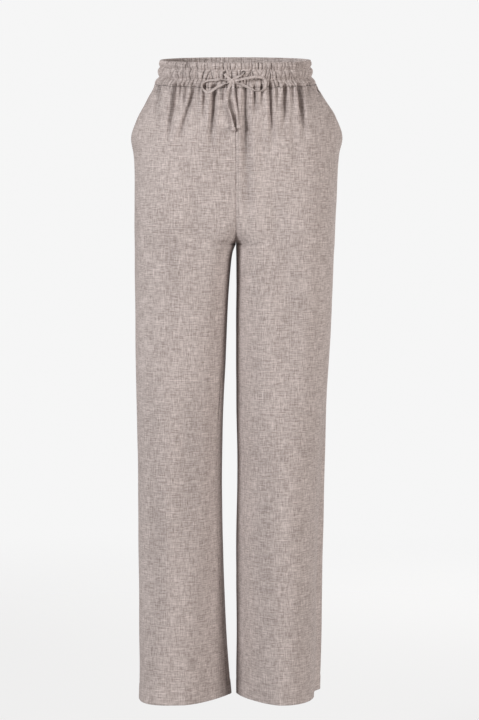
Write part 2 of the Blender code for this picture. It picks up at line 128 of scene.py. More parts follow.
class Fold(NamedTuple):
    """A soft trough that runs down the cloth."""

    top: float
    foot: float
    start: float  # place along X at the top
    end: float  # and at the foot
    width: float
    depth: float


TORSO = (
    Torso(WAIST_SEAM, 0.1355, 0.1330, 0.136, 0.000, 0.1035, 0.104, 2.10),
    Torso(-0.0240, 0.1370, 0.1350, 0.138, 0.000, 0.1055, 0.106, 2.10),
    Torso(-0.0460, 0.1488, 0.1492, 0.150, 0.000, 0.1125, 0.116, 2.20),
    Torso(-0.0750, 0.1620, 0.1665, 0.160, 0.004, 0.1180, 0.126, 2.30),
    Torso(-0.1050, 0.1720, 0.1745, 0.160, 0.012, 0.1210, 0.134, 2.40),
    Torso(-0.1350, 0.1690, 0.1703, 0.146, 0.024, 0.1220, 0.139, 2.50),
    Torso(-0.1650, 0.1674, 0.1676, 0.122, 0.038, 0.1220, 0.140, 2.60),
    Torso(-0.2050, 0.1674, 0.1662, 0.088, 0.058, 0.1210, 0.140, 2.70),
    Torso(-0.2350, 0.1677, 0.1648, 0.056, 0.071, 0.1200, 0.138, 2.70),
    Torso(-0.2600, 0.1680, 0.1640, 0.024, 0.080, 0.1180, 0.134, 2.60),
    Torso(CROTCH, 0.1680, 0.1635, 0.000, 0.083, 0.1160, 0.129, 2.50),
)

LEGS = {
    Side.RIGHT: (
        Leg(-0.300, 0.1680, 0.0060, 0.114, 0.124, 0.000, 2.45, 0.00, 4, 3.60),
        Leg(-0.330, 0.1681, 0.0098, 0.111, 0.117, 0.000, 2.40, 0.00, 8, 3.40),
        Leg(-0.380, 0.1678, 0.0135, 0.107, 0.110, 0.000, 2.30, 0.02, 14, 3.10),
        Leg(-0.450, 0.1672, 0.0163, 0.102, 0.103, 0.000, 2.25, 0.05, 22, 2.80),
        Leg(-0.550, 0.1660, 0.0202, 0.095, 0.096, 0.002, 2.20, 0.08, 29, 2.50),
        Leg(-0.660, 0.1643, 0.0235, 0.088, 0.090, 0.004, 2.20, 0.12, 33),
        Leg(-0.780, 0.1634, 0.0220, 0.082, 0.085, 0.006, 2.20, 0.16, 30, 2.15),
        Leg(-0.900, 0.1624, 0.0188, 0.077, 0.080, 0.009, 2.30, 0.18, 23, 1.90),
        Leg(-1.000, 0.1620, 0.0128, 0.075, 0.077, 0.012, 2.75, 0.15, 18, 1.55),
        Leg(HEM, 0.1630, 0.0085, 0.075, 0.075, 0.015, 3.20, 0.11, 16, 1.35),
    ),
    Side.LEFT: (
        Leg(-0.300, 0.1625, 0.0006, 0.114, 0.124, 0.000, 2.45, 0.00, 4, 3.60),
        Leg(-0.330, 0.1616, 0.0010, 0.111, 0.117, 0.002, 2.40, 0.00, 8, 3.40),
        Leg(-0.380, 0.1598, 0.0010, 0.107, 0.110, 0.005, 2.30, 0.00, 16, 3.10),
        Leg(-0.450, 0.1574, 0.0004, 0.102, 0.104, 0.010, 2.25, 0.00, 24, 2.80),
        Leg(-0.550, 0.1545, 0.0004, 0.095, 0.098, 0.016, 2.20, 0.00, 30, 2.50),
        Leg(-0.660, 0.1517, 0.0020, 0.089, 0.093, 0.022, 2.20, 0.00, 33),
        Leg(-0.780, 0.1493, 0.0004, 0.084, 0.090, 0.027, 2.20, 0.02, 35),
        Leg(-0.900, 0.1476, 0.0012, 0.080, 0.088, 0.029, 2.25, 0.02, 36, 2.00),
        Leg(-1.000, 0.1462, 0.0004, 0.078, 0.087, 0.027, 2.30, -0.01, 25, 1.60),
        Leg(HEM, 0.1448, 0.0004, 0.078, 0.088, 0.0245, 2.35, -0.03, 20, 1.35),
    ),
}

FOLDS = {
    Face.FRONT: (
        Fold(WAIST_SEAM, -0.130, -0.0990, -0.1125, 0.0033, 0.0100),
        Fold(WAIST_SEAM, -0.052, -0.0905, -0.0915, 0.0024, 0.0045),
        Fold(WAIST_SEAM, -0.070, -0.0825, -0.0845, 0.0028, 0.0062),
        Fold(WAIST_SEAM, -0.140, -0.0680, -0.1010, 0.0034, 0.0078),
        Fold(WAIST_SEAM, -0.085, -0.0512, -0.0515, 0.0028, 0.0064),
        Fold(WAIST_SEAM, -0.165, -0.0345, -0.0430, 0.0042, 0.0100),
        Fold(WAIST_SEAM, -0.060, -0.0190, -0.0200, 0.0028, 0.0042),
        Fold(WAIST_SEAM, -0.310, 0.0160, 0.0185, 0.0064, 0.0092),
        Fold(WAIST_SEAM, -0.085, 0.0300, 0.0320, 0.0028, 0.0060),
        Fold(WAIST_SEAM, -0.060, 0.0420, 0.0425, 0.0025, 0.0042),
        Fold(WAIST_SEAM, -0.150, 0.0560, 0.0600, 0.0034, 0.0084),
        Fold(WAIST_SEAM, -0.055, 0.0680, 0.0675, 0.0025, 0.0040),
        Fold(WAIST_SEAM, -0.110, 0.0800, 0.0775, 0.0034, 0.0080),
        Fold(WAIST_SEAM, -0.060, 0.0920, 0.0930, 0.0025, 0.0044),
        Fold(WAIST_SEAM, -0.130, 0.1035, 0.1135, 0.0036, 0.0100),
        Fold(WAIST_SEAM, -0.050, 0.1190, 0.1225, 0.0030, 0.0048),
        Fold(-0.060, -0.160, -0.0800, -0.0960, 0.0075, 0.0022),
        Fold(-0.070, -0.190, -0.0200, -0.0260, 0.0085, 0.0020),
        Fold(-0.070, -0.200, 0.0440, 0.0480, 0.0085, 0.0022),
        Fold(-0.070, -0.180, 0.0900, 0.0980, 0.0085, 0.0022),
        Fold(-0.150, -0.420, -0.0620, -0.0700, 0.0160, 0.0026),
        Fold(-0.200, -0.560, -0.1080, -0.1060, 0.0180, 0.0028),
        Fold(-0.160, -0.420, 0.0640, 0.0700, 0.0170, 0.0026),
        Fold(-0.240, -0.700, 0.0960, 0.0900, 0.0200, 0.0030),
        Fold(-0.480, -0.960, -0.0700, -0.0900, 0.0190, 0.0032),
        Fold(-0.560, -1.150, 0.0540, 0.0480, 0.0170, 0.0030),
        Fold(-0.620, -1.150, -0.1300, -0.1260, 0.0130, 0.0030),
    ),
    Face.BACK: (
        Fold(WAIST_SEAM, -0.130, -0.1080, -0.1200, 0.0068, 0.0088),
        Fold(WAIST_SEAM, -0.090, -0.0840, -0.0880, 0.0054, 0.0054),
        Fold(WAIST_SEAM, -0.140, -0.0600, -0.0700, 0.0068, 0.0074),
        Fold(WAIST_SEAM, -0.100, -0.0350, -0.0370, 0.0054, 0.0054),
        Fold(WAIST_SEAM, -0.120, -0.0130, -0.0150, 0.0054, 0.0048),
        Fold(WAIST_SEAM, -0.110, 0.0180, 0.0190, 0.0054, 0.0058),
        Fold(WAIST_SEAM, -0.150, 0.0420, 0.0500, 0.0068, 0.0074),
        Fold(WAIST_SEAM, -0.090, 0.0660, 0.0700, 0.0054, 0.0051),
        Fold(WAIST_SEAM, -0.135, 0.0900, 0.1010, 0.0068, 0.0080),
        Fold(WAIST_SEAM, -0.085, 0.1130, 0.1170, 0.0054, 0.0048),
        Fold(-0.200, -0.520, -0.0700, -0.0840, 0.0190, 0.0029),
        Fold(-0.210, -0.560, 0.0740, 0.0820, 0.0190, 0.0030),
        Fold(-0.250, -0.420, -0.0380, -0.1180, 0.0110, 0.0029),
        Fold(-0.255, -0.440, 0.0400, 0.1240, 0.0110, 0.0030),
        Fold(-0.520, -1.150, -0.0880, -0.0800, 0.0180, 0.0027),
        Fold(-0.560, -1.150, 0.0760, 0.0840, 0.0180, 0.0027),
    ),
}

BAND_ROWS = (
    BandRow(0.0000, 0.1342, 0.1035),
    BandRow(0.0025, 0.1336, 0.1030),
    BandRow(0.0060, 0.1315, 0.1020),
    BandRow(0.0122, 0.1268, 0.0985),
    BandRow(0.0160, 0.1274, 0.0998),
    BandRow(0.0240, 0.1276, 0.1000),
    BandRow(0.0282, 0.1252, 0.0978),
    BandRow(0.0335, 0.1258, 0.0988),
    BandRow(BAND_HEIGHT, 0.1246, 0.0968),
)
CHANNEL_LINES = (0.0, 0.0122, 0.0282, BAND_HEIGHT)  # waist seam, two stitched lines, folded edge
EDGE_ROUND = 0.0012  # how far below its folded edge the band starts to round over

MOUTH_SET = {Side.RIGHT: 0.020, Side.LEFT: 0.031}  # how far in front of the side seam the mouths start
GROOVE_TOP, GROOVE_FULL = -0.420, -0.800  # levels of the groove and the step beside the left side seam
SIDE_STEP = 0.0115  # the left front lies this far inside the back's outer edge at the hem
STEP_DEPTHS = (0.008, 0.032)  # behind the leg's middle the step fades out between these
CROTCH_SQUARE = 1.3  # added to the exponent of the inner front quarters at the crotch
CROTCH_SPAN = 0.080  # height over which it comes in
CORNER_SQUARE = 2.6  # added to the exponent of the left back's outer quarter
CREASE_DEPTH = 0.0034  # a crease this deep is as dark as any
HIP_DEPTH = 0.110  # creases this deep get the full painted shade
NOISE_REACH = 1.6  # brings Blender's noise to about -1 to 1

KNOT_PLACE = (-0.0064, 0.0048, -0.0188)
EYELETS = {Side.RIGHT: (-0.0181, -0.0055), Side.LEFT: (0.0123, -0.0045)}

# Routes of the ties: (across, stand-off from the cloth, level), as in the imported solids.
ROUTES = {
    Side.RIGHT: {
        "lead": ((-0.0181, 0.0040, -0.0068), (-0.0158, 0.0046, -0.0100), (-0.0110, 0.0048, -0.0139)),
        "loop": (
            (-0.0125, 0.0066, -0.0176), (-0.0240, 0.0068, -0.0160), (-0.0360, 0.0060, -0.0165),
            (-0.0480, 0.0050, -0.0182), (-0.0548, 0.0042, -0.0236), (-0.0533, 0.0036, -0.0310),
            (-0.0466, 0.0034, -0.0366), (-0.0398, 0.0034, -0.0348), (-0.0320, 0.0036, -0.0290),
            (-0.0220, 0.0038, -0.0240), (-0.0126, 0.0040, -0.0216),
        ),
        "tail": (
            (-0.0086, 0.0048, -0.0232), (-0.0128, 0.0042, -0.0330), (-0.0142, 0.0038, -0.0430),
            (-0.0143, 0.0036, -0.0530), (-0.0115, 0.0036, -0.0640), (-0.0080, 0.0036, -0.0740),
            (-0.0058, 0.0036, -0.0840), (-0.0044, 0.0036, -0.0930),
        ),
    },
    Side.LEFT: {
        "lead": ((0.0123, 0.0045, -0.0058), (0.0075, 0.0048, -0.0096), (-0.0016, 0.0048, -0.0139)),
        "loop": (
            (-0.0004, 0.0066, -0.0176), (0.0110, 0.0072, -0.0150), (0.0230, 0.0068, -0.0128),
            (0.0350, 0.0060, -0.0120), (0.0440, 0.0052, -0.0137), (0.0480, 0.0044, -0.0202),
            (0.0466, 0.0038, -0.0290), (0.0398, 0.0034, -0.0346), (0.0300, 0.0034, -0.0338),
            (0.0200, 0.0036, -0.0290), (0.0105, 0.0038, -0.0246), (-0.0003, 0.0040, -0.0216),
        ),
        "tail": (
            (-0.0042, 0.0048, -0.0232), (-0.0046, 0.0042, -0.0340), (-0.0036, 0.0040, -0.0450),
            (-0.0010, 0.0038, -0.0570), (0.0012, 0.0038, -0.0690), (0.0032, 0.0038, -0.0790),
            (0.0046, 0.0038, -0.0890),
        ),
    },
}


# --- Numbers ------------------------------------------------------------------------------------


def unit(value: float) -> float:
    """The value, held between 0 and 1."""
    return min(max(value, 0.0), 1.0)


def fade(value: np.ndarray | float, start: float, end: float) -> np.ndarray | float:
    """0 at start and 1 at end, on a soft S between them."""
    t = np.clip((value - start) / (end - start), 0.0, 1.0)
    return t * t * (3.0 - 2.0 * t)


def signed_power(values: np.ndarray, power: np.ndarray | float) -> np.ndarray:
    """The values' sizes to a power, with their signs kept."""
    return np.sign(values) * np.abs(values) ** power


def run_lengths(points: np.ndarray) -> np.ndarray:
    """The distance along a line at each of its points."""
    return np.concatenate([[0.0], np.cumsum(np.linalg.norm(np.diff(points, axis=0), axis=1))])


def point_at(distance: float, run: np.ndarray, points: np.ndarray) -> np.ndarray:
    """The point at a distance along a line."""
    return np.array([np.interp(distance, run, points[:, k]) for k in range(3)])


def noise_line(places: np.ndarray, row: float, seed: float) -> np.ndarray:
    """Smooth uneven values, about -1 to 1, along places measured in waves."""
    return np.array([noise.noise(Vector((float(x), row, seed))) for x in places]) * NOISE_REACH


def smooth_read(rows: Sequence[Sequence[float]], level: float) -> list[float]:
    """Read a table at a level, on smooth curves through its rows.

    Args:
        rows: rows that start with their level, running downwards.
        level: where to read.

    Returns:
        The other columns at that level.
    """
    last = len(rows) - 2
    i = next((k for k in range(last + 1) if level >= rows[k + 1][0]), last)
    above, below = rows[i], rows[i + 1]
    before, after = rows[max(i - 1, 0)], rows[min(i + 2, last + 1)]
    span = above[0] - below[0]
    t = unit((above[0] - level) / span)
    values = []
    for k in range(1, len(above)):
        slope_in = (below[k] - before[k]) / (before[0] - below[0]) * span
        slope_out = (after[k] - above[k]) / (above[0] - after[0]) * span
        rise = below[k] - above[k]
        curve = t * t * (3 * rise - 2 * slope_in - slope_out) + t**3 * (slope_in + slope_out - 2 * rise)
        values.append(above[k] + t * slope_in + curve)
    return values


def spaced_curve(points: Sequence[Point], step: float) -> list[Vector]:
    """Evenly spaced points on a smooth curve through a route's own points.

    Args:
        points: the route.
        step: about how far apart the new points are.

    Returns:
        The points, both ends among them.
    """
    knots = [np.array(p, float) for p in points]
    knots = [2 * knots[0] - knots[1]] + knots + [2 * knots[-1] - knots[-2]]
    fine = []
    for a, b, c, d in zip(knots, knots[1:], knots[2:], knots[3:]):
        square, cube = 2 * a - 5 * b + 4 * c - d, 3 * b - a - 3 * c + d
        fine += [0.5 * (2 * b + (c - a) * t + square * t**2 + cube * t**3) for t in np.arange(12) / 12]
    fine = np.array(fine + [knots[-2]])
    run = run_lengths(fine)
    targets = np.linspace(0.0, run[-1], max(2, round(run[-1] / step)) + 1)
    return [Vector(point_at(s, run, fine)) for s in targets]


def band_size(height: float) -> list[float]:
    """Half the width and half the depth of the waistband at a height over the waist seam."""
    return smooth_read([(-row.height, row.side, row.depth) for row in BAND_ROWS], -height)


# --- The cut of the cloth -----------------------------------------------------------------------


@dataclass(frozen=True)
class WaistLine:
    """The oval of the waist seam, by its length all round."""

    samples: int = 2000

    @cached_property
    def table(self) -> tuple[np.ndarray, np.ndarray, np.ndarray]:
        """Turn, place across and length round, at each sample."""
        turns = np.linspace(0.0, math.tau, self.samples + 1)
        power = 2.0 / TORSO[0].square
        x = BAND_ROWS[0].side * signed_power(np.cos(turns), power)
        y = BAND_ROWS[0].depth * signed_power(np.sin(turns), power)
        return turns, x, run_lengths(np.stack([x, y], axis=1))

    @property
    def around(self) -> float:
        """The whole length."""
        return float(self.table[2][-1])

    def arc_of_turn(self, turns: np.ndarray) -> np.ndarray:
        """The length round at a turn."""
        return np.interp(turns, self.table[0], self.table[2])

    def arc_of_x(self, face: Face, x: np.ndarray) -> np.ndarray:
        """The length round at a place across the front or the back."""
        _, across, arc = self.table
        half = self.samples // 2
        if face is Face.FRONT:
            return np.interp(x, across[half:], arc[half:])
        return np.interp(-x, -across[: half + 1], arc[: half + 1])


WAIST = WaistLine()


@dataclass(frozen=True)
class Gathers:
    """Small sharp gathers, unevenly spaced round the waist."""

    seed: int
    gap: tuple[float, float]
    depth: tuple[float, float]
    width: tuple[float, float]
    lean: float
    blunt: float = 0.0003  # how round the bottom of a valley is

    @cached_property
    def valleys(self) -> np.ndarray:
        """The valleys, from a seeded draw.

        Returns:
            The place round the waist, depth, width and lean of each, as columns.
        """
        random = np.random.default_rng(self.seed)
        count = round(2.0 * WAIST.around / sum(self.gap))
        gaps = random.uniform(*self.gap, count)
        places = np.cumsum(gaps) * WAIST.around / gaps.sum()
        lean = random.normal(0.0, self.lean, count)
        depths, widths = random.uniform(*self.depth, count), random.uniform(*self.width, count)
        return np.stack([places, depths, widths, lean])

    def press(self, arc: np.ndarray, height: float) -> np.ndarray:
        """How far the valleys press the cloth in.

        Args:
            arc: places round the waist.
            height: height over the gathers' own line.

        Returns:
            The depth at each place.
        """
        places, depth, width, lean = (row[None, :] for row in self.valleys)
        away = arc[:, None] - places - lean * height
        away = (away + WAIST.around / 2) % WAIST.around - WAIST.around / 2
        sharp = np.sqrt(away * away + self.blunt**2) - self.blunt
        return (depth * np.exp(-sharp / width)).max(axis=1)


CHANNEL_GATHERS = (
    Gathers(11, (0.0042, 0.0092), (0.0022, 0.0046), (0.0009, 0.0017), 0.10),
    Gathers(12, (0.0036, 0.0080), (0.0020, 0.0042), (0.0008, 0.0014), 0.40),
    Gathers(13, (0.0036, 0.0084), (0.0020, 0.0040), (0.0008, 0.0014), 0.14),
)
INNER_GATHERS = Gathers(14, (0.0030, 0.0062), (0.0012, 0.0026), (0.0007, 0.0011), 0.08)


@dataclass(frozen=True)
class Outline:
    """One half's line round one face at a level, from the side seam inwards."""

    across: np.ndarray
    depth: np.ndarray

    @cached_property
    def lengths(self) -> np.ndarray:
        """The distance along the line at each point."""
        return run_lengths(np.stack([self.across, self.depth], axis=1))

    def distance_to(self, across: float) -> float:
        """The distance along the line to the first point this near the centre plane."""
        inmost = self.across.argmin()
        return float(np.interp(-across, -self.across[:inmost], self.lengths[:inmost]))

    def read(self, distances: np.ndarray) -> tuple[np.ndarray, np.ndarray, np.ndarray, np.ndarray]:
        """Places and directions along the line.

        Args:
            distances: distances from the side seam.

        Returns:
            Across, depth, and the line's direction in both.
        """
        slopes = (np.gradient(row, self.lengths) for row in (self.across, self.depth))
        columns = (self.across, self.depth, *slopes)
        found = [np.interp(distances, self.lengths, column) for column in columns]
        size = np.hypot(found[2], found[3])
        return found[0], found[1], found[2] / size, found[3] / size


class Wave(NamedTuple):
    """Smooth unevenness of the cloth."""

    depth: float
    width: float
    length: float
    seed: float


@dataclass(frozen=True)
class Cut:
    """The form of the trousers: ovals from the waist seam to the hem, with their folds."""

    samples: int = 400
    seam_dip: float = 0.0012  # how far the centre seams lie in
    seam_dip_width: float = 0.0090
    seam_dip_height: float = 0.050  # it comes in over this much above the crotch
    fold_curve: float = 0.7  # how sharp a fold is
    fold_spread: float = 0.7  # how much wider it is at its foot
    fold_start: tuple[float, float] = (0.0, 0.3)  # shares of its length over which it comes in
    fold_end: tuple[float, float] = (0.15, 1.0)  # and goes out
    fold_shade: float = 0.20  # share of a soft fold's depth that counts in the painted shade, as a soft fold is lit further in than the sharp creases
    pinch_end: float = 0.16  # below the waist seam by this, its gathers are gone
    pinch_fade: float = 0.012
    pinch_spread: float = 2.0  # how fast the cloth widens below the seam
    pinch_rise: float = 0.0008  # how far the cloth stands out between them
    ripple: Wave = Wave(0.0020, 0.0110, 0.060, 9.0)
    ripple_fade: float = 0.045
    unevenness: tuple[Wave, ...] = (Wave(0.0008, 0.045, 0.160, 0.0), Wave(0.00035, 0.016, 0.075, 2.0))
    groove_depth: float = 0.0060
    groove_width: float = 0.0110
    groove_place: float = -0.012  # from the left side seam, forwards
    mouth_growth: tuple[float, float] = (0.82, 0.55)  # the mouth's set at the top, and what it gains
    mouth_closes: float = 0.35  # share of its length at which it starts to close
    centre_holds: float = 0.012  # this near the centre plane the cloth is pressed in depth only

    def leg_rows(self, side: Side) -> list[Leg]:
        """One leg's rows with their slants filled in.

        Args:
            side: the leg's side.

        Returns:
            The rows, the crotch's own oval first.
        """
        first = TORSO[-1]
        width, square = (first.right if side is Side.RIGHT else first.left), first.square
        start = Leg(
            CROTCH, width, SEAM_GAP / 2, first.front, first.back, 0.0, square, 0.0, 0.0,
            square + CROTCH_SQUARE,
        )
        return [row._replace(slant=row.slant or row.square) for row in (start,) + LEGS[side]]

    def outline(self, side: Side, face: Face, level: float) -> Outline:
        """The line of one half on one face.

        Args:
            side: which half.
            face: front or back.
            level: the height.

        Returns:
            The line from the side seam to the centre seam or the inseam.
        """
        is_front, is_left = face is Face.FRONT, side is Side.LEFT
        if level > CROTCH:
            right, left, reach, centre, front, back, square = smooth_read(TORSO, level)
            outer = left if is_left else right
            inner, middle, toe = -max(reach, 0.0), 0.0, 0.0
            slant = square + CROTCH_SQUARE * float(fade(level, CROTCH + CROTCH_SPAN, CROTCH))
            cut = unit((centre - SEAM_GAP / 2) / (centre - inner))
            last = math.pi - math.acos(cut ** ((slant if is_front else square) / 2.0))
        else:
            rows = self.leg_rows(side)
            outer, inner, front, back, middle, square, toe, inseam, slant = smooth_read(rows, level)
            offset = TORSO[-1].centre - (rows[0].side + rows[0].gap) / 2.0
            centre = (outer + inner) / 2.0 + offset * float(fade(level, rows[2].level, CROTCH))
            last = math.pi + math.radians(inseam) * face.value
        turns = np.linspace(0.0, last, self.samples)
        cos, sin = np.cos(turns), np.sin(turns)
        ahead = (sin >= 0) == is_front
        low = fade(level, GROOVE_TOP, GROOVE_FULL) if is_left else 0.0
        outer_square = np.where(~ahead & (cos > 0), square + CORNER_SQUARE * low, square)
        power = 2.0 / np.where(ahead & (cos < 0), slant, outer_square)
        across = centre + np.where(cos > 0, outer - centre, centre - inner) * signed_power(cos, power)
        reach_y = np.where(ahead, -front - middle, back - middle)
        y = middle + reach_y * np.abs(sin) ** power - toe * (across - centre)
        if low > 0:
            step = SIDE_STEP * low * (1.0 - fade(y - middle, *STEP_DEPTHS))
            across = across - step * np.clip((across - centre) / (outer - centre), 0.0, 1.0)
        return Outline(across, y)

    def tilted(self, level: float, y: np.ndarray | float) -> np.ndarray | float:
        """The height of a row's points, which tilts with the waist and levels out below the hip."""
        return level + WAIST_TILT * y * (1.0 - fade(level, WAIST_SEAM, TILT_ENDS))

    def folds(self, face: Face, x: np.ndarray, level: float) -> np.ndarray:
        """How far the folds and the centre seam's dip press the cloth in.

        Args:
            face: front or back.
            x: places across, in space.
            level: the height.

        Returns:
            The depth pressed in at each place.
        """
        dip = np.exp(-((x / self.seam_dip_width) ** 2))
        total = self.seam_dip * dip * fade(level, CROTCH, CROTCH + self.seam_dip_height)
        for fold in FOLDS[face]:
            run = (fold.top - level) / (fold.top - fold.foot)
            strength = 1.0 - fade(run, *self.fold_end)
            if fold.top < WAIST_SEAM:
                strength *= fade(run, *self.fold_start)
            away = x - fold.start - (fold.end - fold.start) * unit(run)
            t = self.fold_curve * (away / (fold.width * (1.0 + self.fold_spread * unit(run)))) ** 2
            total = total + fold.depth * strength * (1.0 - t) * np.exp(-t)
        return total

    def pinches(self, face: Face, x: np.ndarray, level: float) -> np.ndarray:
        """How far the waist seam's small gathers press the cloth in below it.

        Args:
            face: front or back.
            x: places across, in space.
            level: the height.

        Returns:
            The depth pressed in at each place.
        """
        below = WAIST_SEAM - level
        if below > self.pinch_end:
            return np.zeros_like(x)
        arc = WAIST.arc_of_x(face, x / (1.0 + self.pinch_spread * below))
        total = (CHANNEL_GATHERS[0].press(arc, -below) - self.pinch_rise) * math.exp(-below / self.pinch_fade)
        uneven = noise_line(x / self.ripple.width, below / self.ripple.length, self.ripple.seed + face.value)
        return total + self.ripple.depth * math.exp(-below / self.ripple_fade) * uneven

    def crease(self, face: Face, x: np.ndarray, level: float) -> np.ndarray:
        """How much painted shade each place gets, 0 to 1, by how deep in the creases it lies."""
        press = self.fold_shade * self.folds(face, x, level) + self.pinches(face, x, level)
        return np.clip(press / CREASE_DEPTH, 0.0, 1.0)

    def drape(self, side: Side, face: Face, distances: np.ndarray, level: float) -> np.ndarray:
        """The groove beside the left side seam, and the small unevenness of hanging linen.

        Args:
            side: which half.
            face: front or back.
            distances: distances from the side seam.
            level: the height.

        Returns:
            The depth pressed in at each place.
        """
        seed = 5.0 * side.value + face.value
        soft = np.zeros_like(distances)
        for wave in self.unevenness:
            line = noise_line(distances / wave.width, level / wave.length, seed + wave.seed)
            soft = soft + wave.depth * line
        if side is Side.LEFT:
            away = (distances * face.value - self.groove_place) / self.groove_width
            soft = soft + self.groove_depth * fade(level, GROOVE_TOP, GROOVE_FULL) * np.exp(-(away**2))
        return soft

    def mouth(self, side: Side, level: float) -> float:
        """How far in front of the side seam the front is cut away for the pocket."""
        down = (WAIST_SEAM - level) / (WAIST_SEAM - MOUTH_BOTTOM)
        if down >= 1.0:
            return 0.0
        start, gain = self.mouth_growth
        return MOUTH_SET[side] * (start + gain * down) * (1.0 - float(fade(down, self.mouth_closes, 1.0)))

    def row(
        self, side: Side, face: Face, level: float, distances: np.ndarray, lift: np.ndarray | float = 0.0
    ) -> tuple[np.ndarray, np.ndarray]:
        """Points of the outer face of the cloth on one row.

        Args:
            side: which half.
            face: front or back.
            level: the height of the row.
            distances: distances from the side seam.
            lift: how far each point is moved out.

        Returns:
            The points, and the outward directions.
        """
        across, y, along_x, along_y = self.outline(side, face, level).read(distances)
        out_x, out_y = face.value * along_y, -face.value * along_x
        x = side.value * across
        press = self.folds(face, x, level) + self.pinches(face, x, level)
        press = press + self.drape(side, face, distances, level) - lift
        free = 1.0 if level < CROTCH else fade(across, 0.0, self.centre_holds)
        across, y = np.maximum(across - out_x * press * free, SEAM_GAP / 2), y - out_y * press
        points = np.stack([side.value * across, y, self.tilted(level, y)], axis=1)
        return points, np.stack([side.value * out_x, out_y, np.zeros_like(out_x)], axis=1)


CUT = Cut()


def front_of(x: float, level: float) -> float:
    """The depth of the front at a place, over its folds and gathers.

    Args:
        x: distance from the centre plane.
        level: the height.

    Returns:
        The place's y.
    """
    height = level - WAIST_SEAM + WAIST_TILT * BAND_ROWS[0].depth
    if height > 0:
        side, depth = band_size(height)
    else:
        _, side, _, _, depth, _, _ = smooth_read(TORSO, level + WAIST_TILT * HIP_DEPTH)
    power = TORSO[0].square
    return -depth * (1.0 - unit(abs(x) / side) ** power) ** (1 / power)


# --- Materials ----------------------------------------------------------------------------------


class Value:
    """A number's socket, on which Python arithmetic adds Math nodes."""

    def __init__(self, graph: "Graph", socket: bpy.types.NodeSocket) -> None:
        """Keep the graph and the socket."""
        self.graph, self.socket = graph, socket

    def _math(self, operation: str, *values: object) -> "Value":
        """One Math node."""
        inputs = dict(enumerate(values))
        return Value(self.graph, self.graph.node("ShaderNodeMath", {"operation": operation}, inputs))

    def __add__(self, other: object) -> "Value":
        """Sum."""
        return self._math("ADD", self, other)

    def __sub__(self, other: object) -> "Value":
        """Difference."""
        return self._math("SUBTRACT", self, other)

    def __mul__(self, other: object) -> "Value":
        """Product."""
        return self._math("MULTIPLY", self, other)

    def __rsub__(self, other: object) -> "Value":
        """Difference, the other way round."""
        return self._math("SUBTRACT", other, self)

    __radd__ = __add__
    __rmul__ = __mul__

    def sine(self) -> "Value":
        """Its sine."""
        return self._math("SINE", self)

    def above(self, start: float, end: float) -> "Value":
        """0 below start and 1 above end, softly between."""
        settings = {"interpolation_type": "SMOOTHSTEP"}
        return Value(self.graph, self.graph.node("ShaderNodeMapRange", settings, {0: self, 1: start, 2: end}))


class Graph:
    """The nodes of a material or of the world."""

    def __init__(self, owner: bpy.types.ID, shader: str = "Principled BSDF") -> None:
        """Start from the owner's bare shader."""
        owner.use_nodes = True
        self.owner, self.tree = owner, owner.node_tree
        self.shader = self.tree.nodes[shader]

    def link(self, value: object, socket: bpy.types.NodeSocket) -> None:
        """Feed a socket.

        Args:
            value: a number, a colour or another socket.
            socket: the socket that takes it.
        """
        if isinstance(value, Value):
            self.tree.links.new(value.socket, socket)
        elif isinstance(value, bpy.types.NodeSocket):
            self.tree.links.new(value, socket)
        else:
            socket.default_value = value

    def shade(self, inputs: dict[str, object]) -> None:
        """Feed the shader's sockets, by name."""
        for name, value in inputs.items():
            self.link(value, self.shader.inputs[name])

    def node(
        self, kind: str, settings: dict[str, object], inputs: dict[object, object], output: object = 0
    ) -> bpy.types.NodeSocket:
        """Add a node.

        Args:
            kind: the node's type.
            settings: its own settings, set first.
            inputs: values or links of its sockets, by name or number.
            output: which output is wanted.

        Returns:
            That output.
        """
        made = self.tree.nodes.new(kind)
        for key, value in settings.items():
            setattr(made, key, value)
        for key, value in inputs.items():
            self.link(value, made.inputs[key])
        return made.outputs[output]

    def noise(self, vector: bpy.types.NodeSocket, scale: Point, detail: float = 2.0) -> Value:
        """Noise on a vector stretched by a scale on each axis."""
        stretched = self.node("ShaderNodeVectorMath", {"operation": "MULTIPLY"}, {0: vector, 1: scale})
        inputs = {"Vector": stretched, "Scale": 1.0, "Detail": detail}
        return Value(self, self.node("ShaderNodeTexNoise", {}, inputs))

    def mix(self, factor: object, first: object, second: object) -> bpy.types.NodeSocket:
        """A mix of two colours."""
        return self.node("ShaderNodeMix", {"data_type": "RGBA"}, {0: factor, 6: first, 7: second}, 2)

    def bump(
        self, height: Value, strength: float, distance: float, under: object = None
    ) -> bpy.types.NodeSocket:
        """A relief, over another one where that is given."""
        inputs = {"Strength": strength, "Distance": distance, "Height": height}
        return self.node("ShaderNodeBump", {}, inputs if under is None else inputs | {"Normal": under})


def colour(red: float, green: float, blue: float) -> tuple[float, float, float, float]:
    """An opaque colour."""
    return red, green, blue, 1.0


class Grain(NamedTuple):
    """One layer of stretched noise in the cloth: how fine it is both ways, and how strong."""

    across: float
    along: float
    weight: float
    detail: float = 2.0


STREAKS = (
    Grain(560.0, 40.0, 0.80),
    Grain(38.0, 600.0, 0.90),
    Grain(1250.0, 120.0, 0.75, 1.0),
    Grain(130.0, 1300.0, 0.85, 1.0),
    Grain(2600.0, 90.0, 0.60, 0.0),
    Grain(90.0, 2600.0, 0.60, 0.0),
)
SLUBS = (Grain(360.0, 30.0, 0.17, 1.0), Grain(28.0, 400.0, 0.21, 1.0))
SLUB_RANGE = (0.58, 0.76)
GAPS = (Grain(24.0, 420.0, 0.12, 1.0), Grain(400.0, 26.0, 0.09, 1.0))
GAP_RANGE = (0.62, 0.78)
CLOUDS = (Grain(30.0, 11.0, 0.14), Grain(9.0, 4.0, 0.18))


